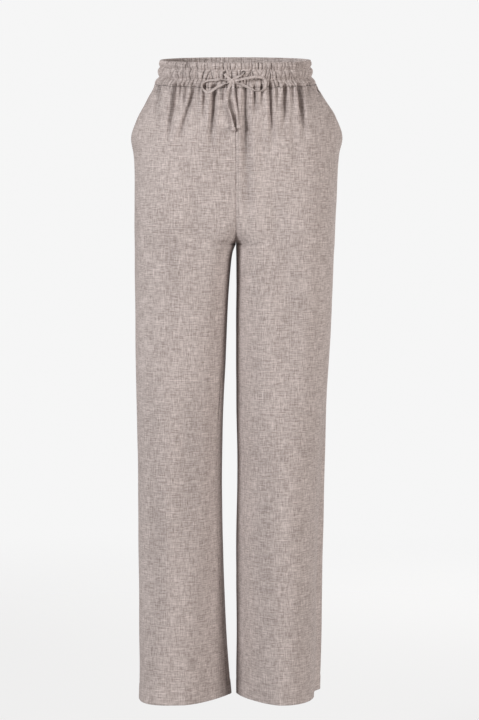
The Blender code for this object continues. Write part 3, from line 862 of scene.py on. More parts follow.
@dataclass(frozen=True)
class Linen:
    """Melange linen: a plain weave of uneven light and dark threads, with slubs both ways."""

    name: str
    dark: tuple[float, float, float] = (0.276, 0.227, 0.210)
    light: tuple[float, float, float] = (0.662, 0.579, 0.551)
    middle: float = 0.465  # share of the light thread
    contrast: float = 1.0
    thread: float = 0.00075  # pitch of the threads
    weave: float = 0.35  # strength of the woven relief
    streak_relief: float = 0.9
    fine_relief: tuple[float, float] = (0.32, 0.00035)  # strength and depth
    crumple: Point = (55.0, 34.0, 1.0)
    crumple_relief: tuple[float, float] = (0.30, 0.0020)
    shade: float = 0.50  # painted shade: how much darker the base colour is made deep in the creases
    roughness: float = 0.93
    specular: float = 0.22
    sheen: float = 0.12
    sheen_roughness: float = 0.55

    def build(self) -> bpy.types.Material:
        """Make the material.

        Returns:
            The finished material, which reads the UV map named "cloth", in metres.
        """
        g = Graph(bpy.data.materials.new(self.name))
        uv = g.node("ShaderNodeUVMap", {"uv_map": "cloth"}, {})

        def layer(grain: Grain) -> Value:
            """The noise of one layer."""
            return g.noise(uv, (grain.across, grain.along, 1.0), grain.detail)

        streaks = sum((layer(grain) - 0.5) * (grain.weight * self.contrast) for grain in STREAKS)
        slubs = sum(layer(grain).above(*SLUB_RANGE) * grain.weight for grain in SLUBS)
        gaps = sum(layer(grain).above(*GAP_RANGE) * grain.weight for grain in GAPS)
        clouds = sum((layer(grain) - 0.5) * grain.weight for grain in CLOUDS)
        tone = (streaks + slubs - gaps + clouds + self.middle).above(0.0, 1.0)
        # painted shade: the mesh's attribute darkens the base colour in the creases, standing in for the
        # shade that falls there
        crease = Value(g, g.node("ShaderNodeAttribute", {"attribute_name": "crease"}, {}, "Fac"))
        cloth = g.mix(tone, colour(*self.dark), colour(*self.light))
        scale = {0: cloth, "Scale": 1.0 - crease * self.shade}
        shaded = g.node("ShaderNodeVectorMath", {"operation": "SCALE"}, scale)
        turn = math.tau / self.thread
        warp, weft = ((Value(g, g.node("ShaderNodeSeparateXYZ", {}, {0: uv}, k)) * turn).sine() for k in "XY")
        relief = warp * weft * self.weave + streaks * self.streak_relief + slubs
        fine = g.bump(relief, *self.fine_relief)
        crumple = g.bump(g.noise(uv, self.crumple, 3.0), *self.crumple_relief, fine)
        g.shade({"Base Color": shaded, "Normal": crumple, "Roughness": self.roughness})
        g.shade({"Specular IOR Level": self.specular})
        g.shade({"Sheen Weight": self.sheen, "Sheen Roughness": self.sheen_roughness})
        return g.owner


@dataclass(frozen=True)
class Thread:
    """Spun sewing thread."""

    name: str
    tint: tuple[float, float, float]
    hollow_shade: float = 0.6  # painted shade: share of the tint left in the hollows of its spun relief
    fineness: float = 900.0
    relief: tuple[float, float] = (0.3, 0.0002)
    roughness: float = 0.85

    def build(self) -> bpy.types.Material:
        """Make the material, on Object coordinates.

        Returns:
            The finished material.
        """
        g = Graph(bpy.data.materials.new(self.name))
        place = g.node("ShaderNodeTexCoord", {}, {}, "Object")
        spun = g.noise(place, (self.fineness, self.fineness, self.fineness), 1.0)
        # painted shade: the same noise that raises the relief darkens its hollows
        tint = g.mix(spun, colour(*(self.hollow_shade * c for c in self.tint)), colour(*self.tint))
        g.shade({"Base Color": tint, "Normal": g.bump(spun, *self.relief), "Roughness": self.roughness})
        return g.owner


# --- Mesh helpers -------------------------------------------------------------------------------


def dress(
    piece: bpy.types.Object, material: bpy.types.Material, node: str = ""
) -> bpy.types.Object:
    """Finish a piece of the one rigid body.

    Args:
        piece: the piece.
        material: its only material.
        node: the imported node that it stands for, if any.

    Returns:
        The piece.
    """
    piece.data.materials.clear()
    piece.data.materials.append(material)
    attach(piece, "root")
    if node:
        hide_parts(node)
    return piece


def put_in_scene(name: str, mesh: bpy.types.Mesh) -> bpy.types.Object:
    """Make an object of a mesh, at the origin."""
    piece = bpy.data.objects.new(name, mesh)
    bpy.context.scene.collection.objects.link(piece)
    return piece


def sheet_mesh(
    name: str,
    points: np.ndarray,
    uv: np.ndarray,
    flip: bool,
    closed: bool = False,
    crease: np.ndarray | None = None,
) -> bpy.types.Mesh:
    """A sheet through a grid of points.

    Args:
        name: the mesh's name.
        points: rows by columns by 3.
        uv: rows by columns by 2, in metres; a closed sheet has one more column.
        flip: whether to turn its faces round.
        closed: whether each row joins up with its own start.
        crease: rows by columns, the painted shade of each point, by how deep in the creases it lies.

    Returns:
        The mesh, smooth, with the UV map "cloth" and, where given, the painted shade of the creases as the
        attribute "crease".
    """
    rows, columns = points.shape[:2]
    spans = columns if closed else columns - 1
    i, j = np.meshgrid(np.arange(rows - 1), np.arange(spans), indexing="ij")
    k = (j + 1) % columns
    row, wide = i * columns, uv.shape[1]
    faces = np.stack([row + j, row + k, row + columns + k, row + columns + j], axis=-1)
    row = i * wide
    places = np.stack([row + j, row + j + 1, row + wide + j + 1, row + wide + j], axis=-1)
    if flip:
        faces, places = faces[..., ::-1], places[..., ::-1]
    mesh = bpy.data.meshes.new(name)
    mesh.from_pydata(points.reshape(-1, 3).tolist(), [], faces.reshape(-1, 4).tolist())
    layer = mesh.uv_layers.new(name="cloth")
    layer.uv.foreach_set("vector", uv.reshape(-1, 2)[places.reshape(-1)].astype(np.float32).ravel())
    # painted shade of the creases, stored for the material to darken its base colour
    if crease is not None:
        depths = mesh.attributes.new("crease", "FLOAT", "POINT")
        depths.data.foreach_set("value", crease.astype(np.float32).ravel())
    mesh.shade_smooth()
    return mesh


def turn_outwards(mesh: bpy.types.Mesh, close_ends: bool = False) -> None:
    """Turn a closed mesh's faces outwards.

    Args:
        mesh: the mesh.
        close_ends: whether it is a tube whose open ends are closed first.
    """
    bm = bmesh.new()
    bm.from_mesh(mesh)
    if close_ends:
        bmesh.ops.holes_fill(bm, edges=bm.edges, sides=0)
    bmesh.ops.recalc_face_normals(bm, faces=bm.faces)
    bm.to_mesh(mesh)
    bm.free()


def give_wall(piece: bpy.types.Object, thickness: float) -> None:
    """Thicken a sheet inwards.

    Args:
        piece: the sheet.
        thickness: its wall.
    """
    wall = piece.modifiers.new("wall", "SOLIDIFY")
    wall.thickness = thickness
    wall.offset = -1.0
    bpy.ops.object.select_all(action="DESELECT")
    piece.select_set(True)
    bpy.context.view_layer.objects.active = piece
    bpy.ops.object.modifier_apply(modifier=wall.name)
    piece.select_set(False)


def add_ball(segments: int, rings: int, shape: Matrix) -> bpy.types.Object:
    """Add a ball of radius 1 brought to a shape, its object at the origin."""
    bpy.ops.object.select_all(action="DESELECT")
    bpy.ops.mesh.primitive_uv_sphere_add(segments=segments, ring_count=rings, radius=1.0, location=(0, 0, 0))
    ball = bpy.context.active_object
    ball.data.transform(shape)
    return ball


# --- The garment's pieces -----------------------------------------------------------------------


@dataclass(frozen=True)
class Stitching:
    """Runs of stitches, each a small spindle half sunk in the cloth."""

    thread: bpy.types.Material
    length: float = 0.0024
    pitch: float = 0.0032
    thick: float = 0.00032
    sides: int = 6
    rings: tuple[tuple[float, float], ...] = (
        (-0.5, 0.25), (-0.32, 0.9), (0.0, 1.0), (0.32, 0.9), (0.5, 0.25)
    )  # place along the stitch, and thickness there
    rise: float = 0.55  # how far the middle stands out, in thicknesses
    sink: float = 1.6  # and how fast the ends go in
    look: float = 0.0005  # how far ahead and behind the run's direction is read

    def spindle(
        self, middle: float, run: np.ndarray, line: np.ndarray, outward: np.ndarray
    ) -> list[np.ndarray]:
        """The points of one stitch.

        Args:
            middle: where along the run it sits.
            run: the distance at each point of the line.
            line: points along the run.
            outward: the outward direction at each of them.

        Returns:
            Its points, ring by ring.
        """
        centre, out = point_at(middle, run, line), point_at(middle, run, outward)
        along = point_at(middle + self.look, run, line) - point_at(middle - self.look, run, line)
        along = along / max(np.linalg.norm(along), 1e-9)
        out = out / np.linalg.norm(out)
        across = np.cross(along, out)
        points = []
        for place, size in self.rings:
            rise = self.thick * (self.rise - self.sink * place * place)
            base = centre + along * place * self.length + out * rise
            for a in math.tau * np.arange(self.sides) / self.sides:
                points.append(base + (across * math.cos(a) + out * math.sin(a)) * self.thick * size)
        return points

    def sew(self, name: str, line: np.ndarray, outward: np.ndarray) -> bpy.types.Object:
        """Sew one run, as one piece.

        Args:
            name: the piece's name.
            line: points along the run.
            outward: the outward direction at each of them.

        Returns:
            The piece.
        """
        run = run_lengths(line)
        points, faces = [], []
        for middle in np.arange(self.pitch / 2, run[-1], self.pitch):
            base, last = len(points), len(self.rings) - 1
            points += self.spindle(middle, run, line, outward)
            for a in range(base, base + last * self.sides, self.sides):
                for s, t in zip(range(self.sides), [*range(1, self.sides), 0]):
                    faces.append((a + s, a + t, a + self.sides + t, a + self.sides + s))
            faces.append(tuple(base + s for s in reversed(range(self.sides))))
            faces.append(tuple(base + last * self.sides + s for s in range(self.sides)))
        mesh = bpy.data.meshes.new(name)
        mesh.from_pydata([tuple(p) for p in points], [], faces)
        turn_outwards(mesh)
        mesh.shade_smooth()
        return dress(put_in_scene(name, mesh), self.thread)


@dataclass
class Panel:
    """A front or a back, from the waist seam to its turned hem."""

    side: Side
    face: Face
    linen: bpy.types.Material
    stitching: Stitching
    columns: int = 180
    crowding: float = 0.06  # how much closer the columns lie at the panel's edges
    bands: tuple[tuple[float, float, int], ...] = (
        (WAIST_SEAM, -0.0240, 3), (-0.0240, -0.160, 52), (-0.160, -0.340, 42), (-0.340, HEM + 0.034, 62)
    )  # top, foot and number of rows, close together where the cloth is gathered
    hem_rows: int = 16
    grain_line: float = 0.086  # the warp runs straight down this far from the centre plane
    hem: float = 0.026  # depth of the turned hem
    turn: float = 0.0011  # how far inside its own layer lies
    edge_dip: float = 0.0007
    edge_width: float = 0.0014
    mouth_gape: float = 0.0016
    mouth_reach: float = 0.030  # the gape fades out over this much
    stitch_dip: float = 0.0005
    stitch_width: float = 0.0016
    hem_step: float = 0.0004  # the hem's two layers stand out by this
    hem_rise: float = 0.004  # over this height
    top_margin: float = 0.003  # runs of stitches start this far below the waist seam
    stitches: list[bpy.types.Object] = field(default_factory=list)

    @property
    def name(self) -> str:
        """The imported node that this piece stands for."""
        return f"{self.face.name.lower()}_{self.side.name.lower()}"

    def patch(self) -> np.ndarray:
        """Where on the bolt the panel is cut, so that no two match."""
        return np.array([3.0 + 1.37 * self.side.value, 4.0 + 1.71 * self.face.value])

    def span(self, level: float) -> tuple[float, float]:
        """Where the cloth starts and ends, as distances from the side seam."""
        length = CUT.outline(self.side, self.face, level).lengths[-1]
        mouth = CUT.mouth(self.side, level) if self.face is Face.FRONT else 0.0
        return mouth, length

    def lift(self, level: float, distances: np.ndarray) -> np.ndarray:
        """How far the cloth stands out: at the pocket's mouth, the hem's edge and the seams' dips.

        Args:
            level: the height.
            distances: distances from the side seam.

        Returns:
            The lift at each place.
        """
        start, end = self.span(level)
        down = unit((WAIST_SEAM - level) / (WAIST_SEAM - MOUTH_BOTTOM))
        total = np.zeros_like(distances)
        at_seam = np.exp(-(((end - distances) / self.edge_width) ** 2))
        if self.face is Face.FRONT and down < 1.0:
            inland = fade(distances - start, 0.0, self.mouth_reach)
            total = total + self.mouth_gape * math.sin(math.pi * down) * (1.0 - inland)
        else:
            at_seam = at_seam + np.exp(-(((distances - start) / self.edge_width) ** 2))
        stitch_line = HEM + self.hem
        total = total - self.edge_dip * at_seam
        total = total - self.stitch_dip * math.exp(-(((level - stitch_line) / self.stitch_width) ** 2))
        return total + self.hem_step * float(fade(level, stitch_line, stitch_line - self.hem_rise))

    def row(self, level: float, inset: float = 0.0) -> tuple[np.ndarray, np.ndarray, np.ndarray]:
        """One row of the cloth.

        Args:
            level: the height.
            inset: how far inside the outer face it lies.

        Returns:
            Its points, their outward directions and their distances from the side seam.
        """
        start, end = self.span(level)
        share = np.linspace(0.0, 1.0, self.columns + 1)
        share = share - self.crowding * np.sin(math.tau * share) / math.tau
        distances = start + SEAM_GAP / 2 + (end - start - SEAM_GAP) * share
        points, out = CUT.row(self.side, self.face, level, distances, self.lift(level, distances) - inset)
        return points, out, distances

    def rows(self) -> list[tuple[float, float]]:
        """The level and inset of each row, down the cloth and up again inside the turned hem."""
        outer = [np.linspace(top, foot, count, endpoint=False) for top, foot, count in self.bands]
        outer.append(np.linspace(self.bands[-1][1], HEM, self.hem_rows))
        fold = [(HEM - 0.0003, 0.0003), (HEM - 0.0003, 0.0008), (HEM, self.turn)]
        inner = [(HEM + self.hem * k / 6, self.turn) for k in range(1, 7)]
        return [(level, 0.0) for level in np.concatenate(outer)] + fold + inner

    def build(self) -> bpy.types.Object:
        """Build the panel and sew it.

        Returns:
            The piece.
        """
        points, uv, crease = [], [], []
        for level, inset in self.rows():
            row, _, distances = self.row(level, inset)
            points.append(row)
            # painted shade of the folds and gathers, for the material to darken the base colour
            crease.append(CUT.crease(self.face, row[:, 0], level))
            grain = CUT.outline(self.side, self.face, level).distance_to(self.grain_line)
            uv.append(np.stack([distances - grain, np.full_like(distances, level)], axis=1))
        flip = (self.side is Side.RIGHT) == (self.face is Face.FRONT)
        name, places = f"cloth_{self.name}", np.array(uv) + self.patch()
        piece = put_in_scene(name, sheet_mesh(name, np.array(points), places, flip, crease=np.array(crease)))
        dress(piece, self.linen, self.name)
        give_wall(piece, LAYER)
        self.sew()
        return piece

    def line_down(self, foot: float, from_edge: float, inner: bool) -> tuple[np.ndarray, np.ndarray]:
        """A line that runs down the panel at a distance from one of its edges.

        Args:
            foot: the level at which it ends.
            from_edge: its distance from the edge.
            inner: whether that edge is the one at the centre.

        Returns:
            Its points and their outward directions.
        """
        points, outs = [], []
        for level in np.linspace(WAIST_SEAM - self.top_margin, foot, 120):
            start, end = self.span(level)
            place = np.array([end - from_edge if inner else start + from_edge])
            point, out = CUT.row(self.side, self.face, level, place, self.lift(level, place))
            points.append(point[0])
            outs.append(out[0])
        return np.array(points), np.array(outs)

    def sew(self) -> None:
        """Sew the hem, and on a front the pocket's mouth and the centre seam."""
        runs = {"hem": self.row(HEM + self.hem)[:2]}
        if self.face is Face.FRONT:
            runs["mouth"] = self.line_down(MOUTH_BOTTOM + 0.002, 0.0045, False)
            if self.side is Side.LEFT:
                runs["centre"] = self.line_down(-0.240, 0.0042, True)
        for kind, (line, out) in runs.items():
            self.stitches.append(self.stitching.sew(f"stitches_{kind}_{self.name}", line, out))


@dataclass
class Facing:
    """The self-cloth layer that shows behind a pocket's mouth."""

    side: Side
    linen: bpy.types.Material
    reach: float = 0.030  # how far it runs on in front of the mouth
    tuck: float = 0.006  # and behind the side seam
    set_in: float = 0.0019
    top_margin: float = 0.0015
    rows: int = 60
    columns: int = 26

    def build(self) -> bpy.types.Object:
        """Build the facing.

        Returns:
            The piece.
        """
        points, uv = [], []
        behind = np.array([self.tuck, self.tuck / 2])
        for level in np.linspace(WAIST_SEAM - self.top_margin, MOUTH_BOTTOM, self.rows):
            ahead = np.linspace(0.0, CUT.mouth(self.side, level) + self.reach, self.columns)
            back, _ = CUT.row(self.side, Face.BACK, level, behind, -self.set_in)
            front, _ = CUT.row(self.side, Face.FRONT, level, ahead, -self.set_in)
            points.append(np.concatenate([back, front]))
            places = np.concatenate([-behind, ahead])
            uv.append(np.stack([places, np.full_like(places, level)], axis=1))
        node = f"pocket_facing_{self.side.name.lower()}"
        mesh = sheet_mesh(f"cloth_{node}", np.array(points), np.array(uv) + 1.0, self.side is Side.RIGHT)
        piece = dress(put_in_scene(f"cloth_{node}", mesh), self.linen, node)
        give_wall(piece, LAYER)
        return piece


@dataclass
class Waistband:
    """The gathered casing: one strip folded over three elastics, with two stitched lines."""

    linen: bpy.types.Material
    stitching: Stitching
    columns: int = 1240
    around: float = math.tau * 0.115 * 1.35  # length of the strip, before it is gathered
    wall: float = 0.00056  # one layer, thinner where it is stretched over its gathers
    hollow: float = 0.0036  # room for the elastic between its two walls
    puff: float = 0.0015
    flat_share: float = 0.4  # share of the puff by which its lines lie in
    inner_puff: float = 0.6  # how much of it shows inside
    inner_gathers: float = 0.7
    ridge: float = 0.0012  # how far the cloth stands out between its gathers
    line_width: float = 0.0008  # half the height over which one channel's gathers give way to the next
    stitches: list[bpy.types.Object] = field(default_factory=list)

    def profile(self) -> list[tuple[float, float, float]]:
        """The folded strip, from its outer edge over the top and down inside.

        Returns:
            The height, the inset and the distance along it of each row.
        """
        half, top = self.hollow / 2, BAND_HEIGHT - EDGE_ROUND
        turns = np.linspace(0.0, math.pi, 6)[1:-1]
        line = [(h, 0.0) for h in np.linspace(0.0, top, 25)]
        line += [(top + EDGE_ROUND * math.sin(a), half - half * math.cos(a)) for a in turns]
        line += [(h, self.hollow) for h in np.linspace(top, 0.0008, 9)]
        return [(*place, along) for place, along in zip(line, run_lengths(np.array(line)))]

    def ring(self, height: float, inset: float) -> tuple[np.ndarray, np.ndarray]:
        """One ring of the band's wall.

        Args:
            height: height over the waist seam.
            inset: how far inside the outer face it lies.

        Returns:
            The points, and the outward directions.
        """
        side, depth = band_size(height)
        turns = math.tau * np.arange(self.columns) / self.columns
        cos, sin = np.cos(turns), np.sin(turns)
        power = 2.0 / TORSO[0].square
        x = side * np.where(cos > 0, TORSO[0].left / TORSO[0].right, 1.0) * signed_power(cos, power)
        y = depth * signed_power(sin, power)
        out = np.stack([x / side**2, y / depth**2], axis=1)
        out /= np.linalg.norm(out, axis=1)[:, None]
        bulge = self.bulge(height) * (-self.inner_puff if inset else 1.0)
        press = inset + self.gathers(turns, height, inset > 0) - bulge
        follow = 1.0 - float(fade(height, 0.0, CHANNEL_LINES[1]))
        if follow > 0:
            folds = np.where(y < 0, CUT.folds(Face.FRONT, x, WAIST_SEAM), CUT.folds(Face.BACK, x, WAIST_SEAM))
            press = press + folds * follow
        x, y = x - out[:, 0] * press, y - out[:, 1] * press
        z = WAIST_SEAM + SEAM_GAP / 2 + height + WAIST_TILT * y
        return np.stack([x, y, z], axis=1), np.concatenate([out, np.zeros((len(x), 1))], axis=1)

    def bulge(self, height: float) -> float:
        """How far a channel puffs out between its lines."""
        channels = zip(CHANNEL_LINES, CHANNEL_LINES[1:])
        low, high = next(pair for pair in channels if pair[0] <= height <= pair[1])
        return self.puff * (abs(math.sin(math.pi * (height - low) / (high - low))) ** 0.7 - self.flat_share)

    def gathers(self, turns: np.ndarray, height: float, inner: bool) -> np.ndarray:
        """The small uneven gathers of each channel, pinched at the lines between them.

        Args:
            turns: places round the band.
            height: height over the waist seam.
            inner: whether the row lies inside the band.

        Returns:
            The depth pressed in at each place.
        """
        arc = WAIST.arc_of_turn(turns)
        if inner:
            return -self.inner_gathers * INNER_GATHERS.press(arc, height)
        rows = zip(CHANNEL_GATHERS, CHANNEL_LINES)
        channels = [gathers.press(arc, height - line) - self.ridge for gathers, line in rows]
        near = self.line_width
        first, second = (fade(height, line - near, line + near) for line in CHANNEL_LINES[1:3])
        return channels[0] * (1.0 - first) + channels[1] * first * (1.0 - second) + channels[2] * second

    def build(self) -> bpy.types.Object:
        """Build the band and its two lines of stitches.

        Returns:
            The band's piece.
        """
        points, uv, crease = [], [], []
        places = np.linspace(0.0, self.around, self.columns + 1)
        turns = math.tau * np.arange(self.columns) / self.columns
        for height, inset, along in self.profile():
            points.append(self.ring(height, inset)[0])
            # painted shade in the valleys of the gathers, for the material to darken the base colour
            crease.append(np.clip(self.gathers(turns, height, inset > 0) / CREASE_DEPTH, 0.0, 1.0))
            uv.append(np.stack([places, np.full_like(places, along)], axis=1))
        name = "cloth_waistband"
        grid, cloth = np.array(points), np.array(uv) + 1.0
        mesh = sheet_mesh(name, grid, cloth, False, closed=True, crease=np.array(crease))
        piece = dress(put_in_scene(name, mesh), self.linen, "waistband")
        give_wall(piece, self.wall)
        for k, height in enumerate(CHANNEL_LINES[1:3]):
            line, out = (np.concatenate([ring, ring[:1]]) for ring in self.ring(height, 0.0))
            self.stitches.append(self.stitching.sew(f"stitches_band_{k + 1}", line, out))
        return piece


@dataclass
class Eyelet:
    """A sewn eyelet in the middle channel."""

    side: Side
    thread: bpy.types.Material
    radius: float = 0.0024
    stitch: Point = (0.00105, 0.00045, 0.00042)
    stitches: int = 20
    set_in: float = 0.0002

    def build(self) -> bpy.types.Object:
        """Build the ring as short stitches spun round a hole.

        Returns:
            The piece.
        """
        node = f"eyelet_{self.side.name.lower()}"
        x, level = EYELETS[self.side]
        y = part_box(node)[0][1] + self.set_in
        first = Matrix.Translation((x + self.radius, y, level)) @ Matrix.Diagonal((*self.stitch, 1.0))
        piece = add_ball(10, 8, first)
        bpy.ops.object.mode_set(mode="EDIT")
        bpy.ops.mesh.select_all(action="SELECT")
        bpy.ops.mesh.spin(
            steps=self.stitches, dupli=True, angle=math.tau, center=(x, y, level), axis=(0, 1, 0)
        )
        bpy.ops.mesh.select_all(action="SELECT")
        bpy.ops.mesh.remove_doubles(threshold=0.00001)
        bpy.ops.mesh.normals_make_consistent(inside=False)
        bpy.ops.object.mode_set(mode="OBJECT")
        bpy.ops.object.shade_smooth()
        piece.name = f"sewn_{node}"
        return dress(piece, self.thread, node)


@dataclass
class Tie:
    """One half of the drawstring: a flat folded strip from its eyelet, round its loop, down its tail."""

    side: Side
    linen: bpy.types.Material
    width: float = 0.0052
    thick: float = 0.0015
    step: float = 0.0011
    sides: int = 14
    end: float = 0.003  # what runs on into the end knot
    roll: float = 2.2  # how much it twists
    roll_wave: float = 0.020
    narrowing: float = 0.14  # share by which its width varies
    width_wave: float = 0.009
    groove: float = 0.72  # its thickness along the fold's middle
    line: list[Vector] = field(default_factory=list)

    @property
    def name(self) -> str:
        """The piece's name."""
        return f"tie_{self.side.name.lower()}"

    def route(self) -> list[Point]:
        """The whole route: lead, knot, loop, knot, tail and its end."""
        lead, loop, tail = (ROUTES[self.side][kind] for kind in ("lead", "loop", "tail"))
        places = (*lead, KNOT_PLACE, *loop, KNOT_PLACE, *tail)
        points = [(x, front_of(x, level) - out, level) for x, out, level in places]
        last, before = Vector(points[-1]), Vector(points[-2])
        return points + [tuple(last + (last - before).normalized() * self.end)]

    def ring(self, i: int, along: float) -> list[Vector]:
        """The section of the strip at one point of its line.

        Args:
            i: which point.
            along: the length up to it.

        Returns:
            The section's points.
        """
        point, seed = self.line[i], self.side.value
        tangent = (self.line[min(i + 1, len(self.line) - 1)] - self.line[max(i - 1, 0)]).normalized()
        roll = self.roll * noise.noise(Vector((along / self.roll_wave, 0.5 + seed, 0.0)))
        across = Matrix.Rotation(roll, 3, tangent) @ tangent.cross(Vector((0.0, -1.0, 0.0))).normalized()
        out = across.cross(tangent).normalized()
        uneven = noise.noise(Vector((along / self.width_wave, 4.0, seed)))
        wide = self.width / 2 * (1.0 - self.narrowing + self.narrowing * uneven)
        ring = []
        for a in math.tau * np.arange(self.sides) / self.sides:
            groove = self.groove if abs(math.cos(a)) < 0.3 else 1.0
            ring.append(point + across * math.cos(a) * wide + out * math.sin(a) * self.thick / 2 * groove)
        return ring

    def build(self) -> bpy.types.Object:
        """Build the strip as a flat tube.

        Returns:
            The piece.
        """
        self.line = spaced_curve(self.route(), self.step)
        run = run_lengths(np.array(self.line))
        rings = [self.ring(i, along) for i, along in enumerate(run)]
        around = np.arange(self.sides + 1) / self.sides * 2.4 * self.width
        uv = [[(place, along) for place in around] for along in run]
        mesh = sheet_mesh(self.name, np.array(rings), np.array(uv) + 1.0, False, closed=True)
        turn_outwards(mesh, close_ends=True)
        piece = dress(put_in_scene(self.name, mesh), self.linen)
        for kind in ROUTES[self.side]:
            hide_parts(f"tie_{kind}_{self.side.name.lower()}")
        return piece

    def declare(self, piece: bpy.types.Object, with_pieces: list[bpy.types.Object]) -> None:
        """Does nothing: the tie's length and the pieces on it are not stated."""


@dataclass
class Knot:
    """A knot of the tie: a rounded lump wound round with strands."""

    name: str
    node: str
    linen: bpy.types.Material
    wraps: tuple[tuple[float, float, float], ...]  # place along the knot, tilt, size
    full: float = 1.0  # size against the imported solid
    core: float = 0.9
    strand: float = 0.34  # thickness of a strand against its ring
    long: float = 0.9 * 1.05  # how far a ring spreads along the knot, and round it
    round: float = 0.78
    patch: float = 0.02  # size of cloth that the UV map lays on each of its parts

    def build(self) -> bpy.types.Object:
        """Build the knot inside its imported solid.

        Returns:
            The piece.
        """
        low, high = (Vector(corner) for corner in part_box(self.node))
        half = (high - low) / 2 * self.full
        made = [add_ball(40, 24, Matrix.Diagonal((*(half * self.core), 1.0)))]
        for place, tilt, size in self.wraps:
            bpy.ops.mesh.primitive_torus_add(
                major_segments=48,
                minor_segments=12,
                major_radius=1.0,
                minor_radius=self.strand,
                location=(0, 0, 0),
            )
            wrap = bpy.context.active_object
            spread = (half.x * self.long, half.y * size * self.round, half.z * size * self.round, 1.0)
            turn = Matrix.Rotation(tilt, 4, "Y") @ Matrix.Rotation(math.pi / 2, 4, "Y")
            move = Matrix.Translation((half.x * place, 0.0, 0.0))
            wrap.data.transform(move @ Matrix.Diagonal(spread) @ turn)
            made.append(wrap)
        for thing in made:
            thing.data.transform(Matrix.Translation((low + high) / 2))
            thing.select_set(True)
        knot = made[0]
        bpy.context.view_layer.objects.active = knot
        bpy.ops.object.join()
        bpy.ops.object.shade_smooth()
        knot.name = self.name
        layer = knot.data.uv_layers.active
        layer.name = "cloth"
        places = np.empty(len(knot.data.loops) * 2, np.float32)
        layer.uv.foreach_get("vector", places)
        layer.uv.foreach_set("vector", places * self.patch + 1.0)
        return dress(knot, self.linen, self.node)


# --- The studio ---------------------------------------------------------------------------------


class Lamp(NamedTuple):
    """A square soft lamp, aimed at the legs."""

    name: str
    place: Point
    size: float
    power: float
    tint: tuple[float, float, float]


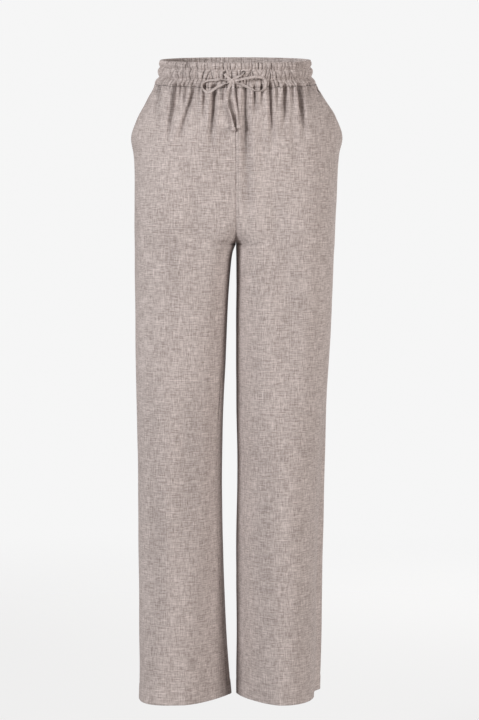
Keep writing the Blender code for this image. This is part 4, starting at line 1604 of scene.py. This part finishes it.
@dataclass(frozen=True)
class Studio:
    """A white studio with soft light, and the camera a little below the waist."""

    camera_place: Point = (0.0058, -4.0, -0.168)
    camera_aim: Point = (0.0058, 0.0, -0.478)
    lens: float = 120.0
    sensor: float = 36.0
    lamps: tuple[Lamp, ...] = (
        Lamp("left_box", (-2.4, -2.2, 0.75), 0.9, 93.0, (0.965, 0.985, 1.0)),
        Lamp("right_box", (2.5, -1.8, -0.10), 1.2, 58.0, (1.0, 0.975, 0.95)),
        Lamp("back_box", (0.9, 2.8, 0.4), 1.4, 46.0, (1.0, 0.99, 0.98)),
    )
    lamp_aim: Point = (0.0, 0.0, -0.60)
    backdrop: float = 0.92
    ambient: tuple[float, float, float] = (0.290, 0.270, 0.261)  # the room's light on the cloth
    floor_level: float = -1.25
    floor_radius: float = 3.4
    floor_fades: tuple[float, float] = (1.4, 3.3)
    floor_tint: float = 0.20
    floor_glow: float = 0.685

    def place(self, name: str, data: bpy.types.ID, place: Point, aim: Point) -> bpy.types.Object:
        """Put a camera or a lamp in the scene, looking at a point."""
        thing = put_in_scene(name, data)
        thing.location = place
        thing.rotation_euler = (Vector(aim) - Vector(place)).to_track_quat("-Z", "Y").to_euler()
        return thing

    def light(self) -> None:
        """Light the white room."""
        world = bpy.data.worlds.new("white_room")
        bpy.context.scene.world = world
        g = Graph(world, "Background")
        seen = g.node("ShaderNodeLightPath", {}, {}, "Is Camera Ray")
        backdrop = colour(self.backdrop, self.backdrop, self.backdrop)
        g.shade({"Color": g.mix(seen, colour(*self.ambient), backdrop)})
        for lamp in self.lamps:
            data = bpy.data.lights.new(lamp.name, "AREA")
            data.size, data.energy, data.color = lamp.size, lamp.power, lamp.tint
            self.place(lamp.name, data, lamp.place, self.lamp_aim)

    def floor(self) -> None:
        """Make the pale floor, which fades out at its rim."""
        bpy.ops.object.select_all(action="DESELECT")
        bpy.ops.mesh.primitive_circle_add(
            vertices=96, radius=self.floor_radius, fill_type="NGON", location=(0.0, 0.0, self.floor_level)
        )
        floor = bpy.context.active_object
        floor.name = "floor"
        g = Graph(bpy.data.materials.new("pale_floor"))
        place = g.node("ShaderNodeTexCoord", {}, {}, "Object")
        far = Value(g, g.node("ShaderNodeVectorMath", {"operation": "LENGTH"}, {0: place}, "Value"))
        g.shade({"Base Color": colour(self.floor_tint, self.floor_tint, self.floor_tint)})
        g.shade({"Emission Color": colour(1.0, 1.0, 1.0), "Emission Strength": self.floor_glow})
        g.shade({"Roughness": 1.0, "Specular IOR Level": 0.0, "Alpha": 1.0 - far.above(*self.floor_fades)})
        floor.data.materials.append(g.owner)
        floor.visible_diffuse = False  # it brightens the picture, not the cloth

    def build(self) -> None:
        """Set up the camera, the lights and the floor."""
        data = bpy.data.cameras.new("camera")
        data.lens, data.sensor_width = self.lens, self.sensor
        bpy.context.scene.camera = self.place("camera", data, self.camera_place, self.camera_aim)
        self.light()
        self.floor()
        bpy.context.scene.view_settings.view_transform = "Standard"


# --- Putting it together ------------------------------------------------------------------------

# Each panel's cut, width by length, and its area.
FLATS = {Face.FRONT: ((0.285, 1.055), 0.262), Face.BACK: ((0.345, 1.070), 0.312)}


def build_ties(linen: bpy.types.Material) -> None:
    """Args:
        linen: the cloth of the tie.
    """
    ties = {side: Tie(side, linen) for side in Side}
    strips = {side: tie.build() for side, tie in ties.items()}
    bow = Knot("tie_bow_knot", "bow_knot", linen, ((-0.35, 0.35, 1.0), (0.30, -0.25, 1.02))).build()
    for side in Side:
        node = f"end_knot_{side.name.lower()}"
        end = Knot(f"tie_{node}", node, linen, ((0.0, 0.6, 0.95), (0.1, -0.7, 0.9)), 1.25).build()
        ties[side].declare(strips[side], [end] + ([bow] if side is Side.RIGHT else []))
        LOG.info("%s: %d points", ties[side].name, len(ties[side].line))


def main() -> None:
    logging.basicConfig(level=logging.INFO, format="%(message)s")
    Studio().build()
    linen = Linen("melange_linen").build()
    # painted shade: the facing is the same linen in a darker copy, for the shade behind the pocket's mouth
    facing_linen = Linen("facing_linen", dark=(0.22, 0.18, 0.16), light=(0.52, 0.45, 0.42)).build()
    tie_linen = Linen("tie_linen", middle=0.54, contrast=0.8).build()
    stitching = Stitching(Thread("linen_thread", (0.44, 0.375, 0.35)).build())
    # painted shade: near-black thread, so each eyelet reads as the dark dot of its hole
    eyelet_shade_thread = Thread("eyelet_stitch", (0.16, 0.13, 0.12)).build()
    build_ties(tie_linen)
    band = Waistband(linen, stitching)
    band_piece = band.build()
    LOG.info("waistband: %d faces", len(band_piece.data.polygons))
    for side in Side:
        eyelet = Eyelet(side, eyelet_shade_thread).build()
        facing = Facing(side, facing_linen).build()
        LOG.info("%s and %s", eyelet.name, facing.name)
        for face, (flat, area) in FLATS.items():
            panel = Panel(side, face, linen, stitching)
            piece = panel.build()
            LOG.info("%s: %d faces", piece.name, len(piece.data.polygons))


if __name__ == "__main__":
    main()
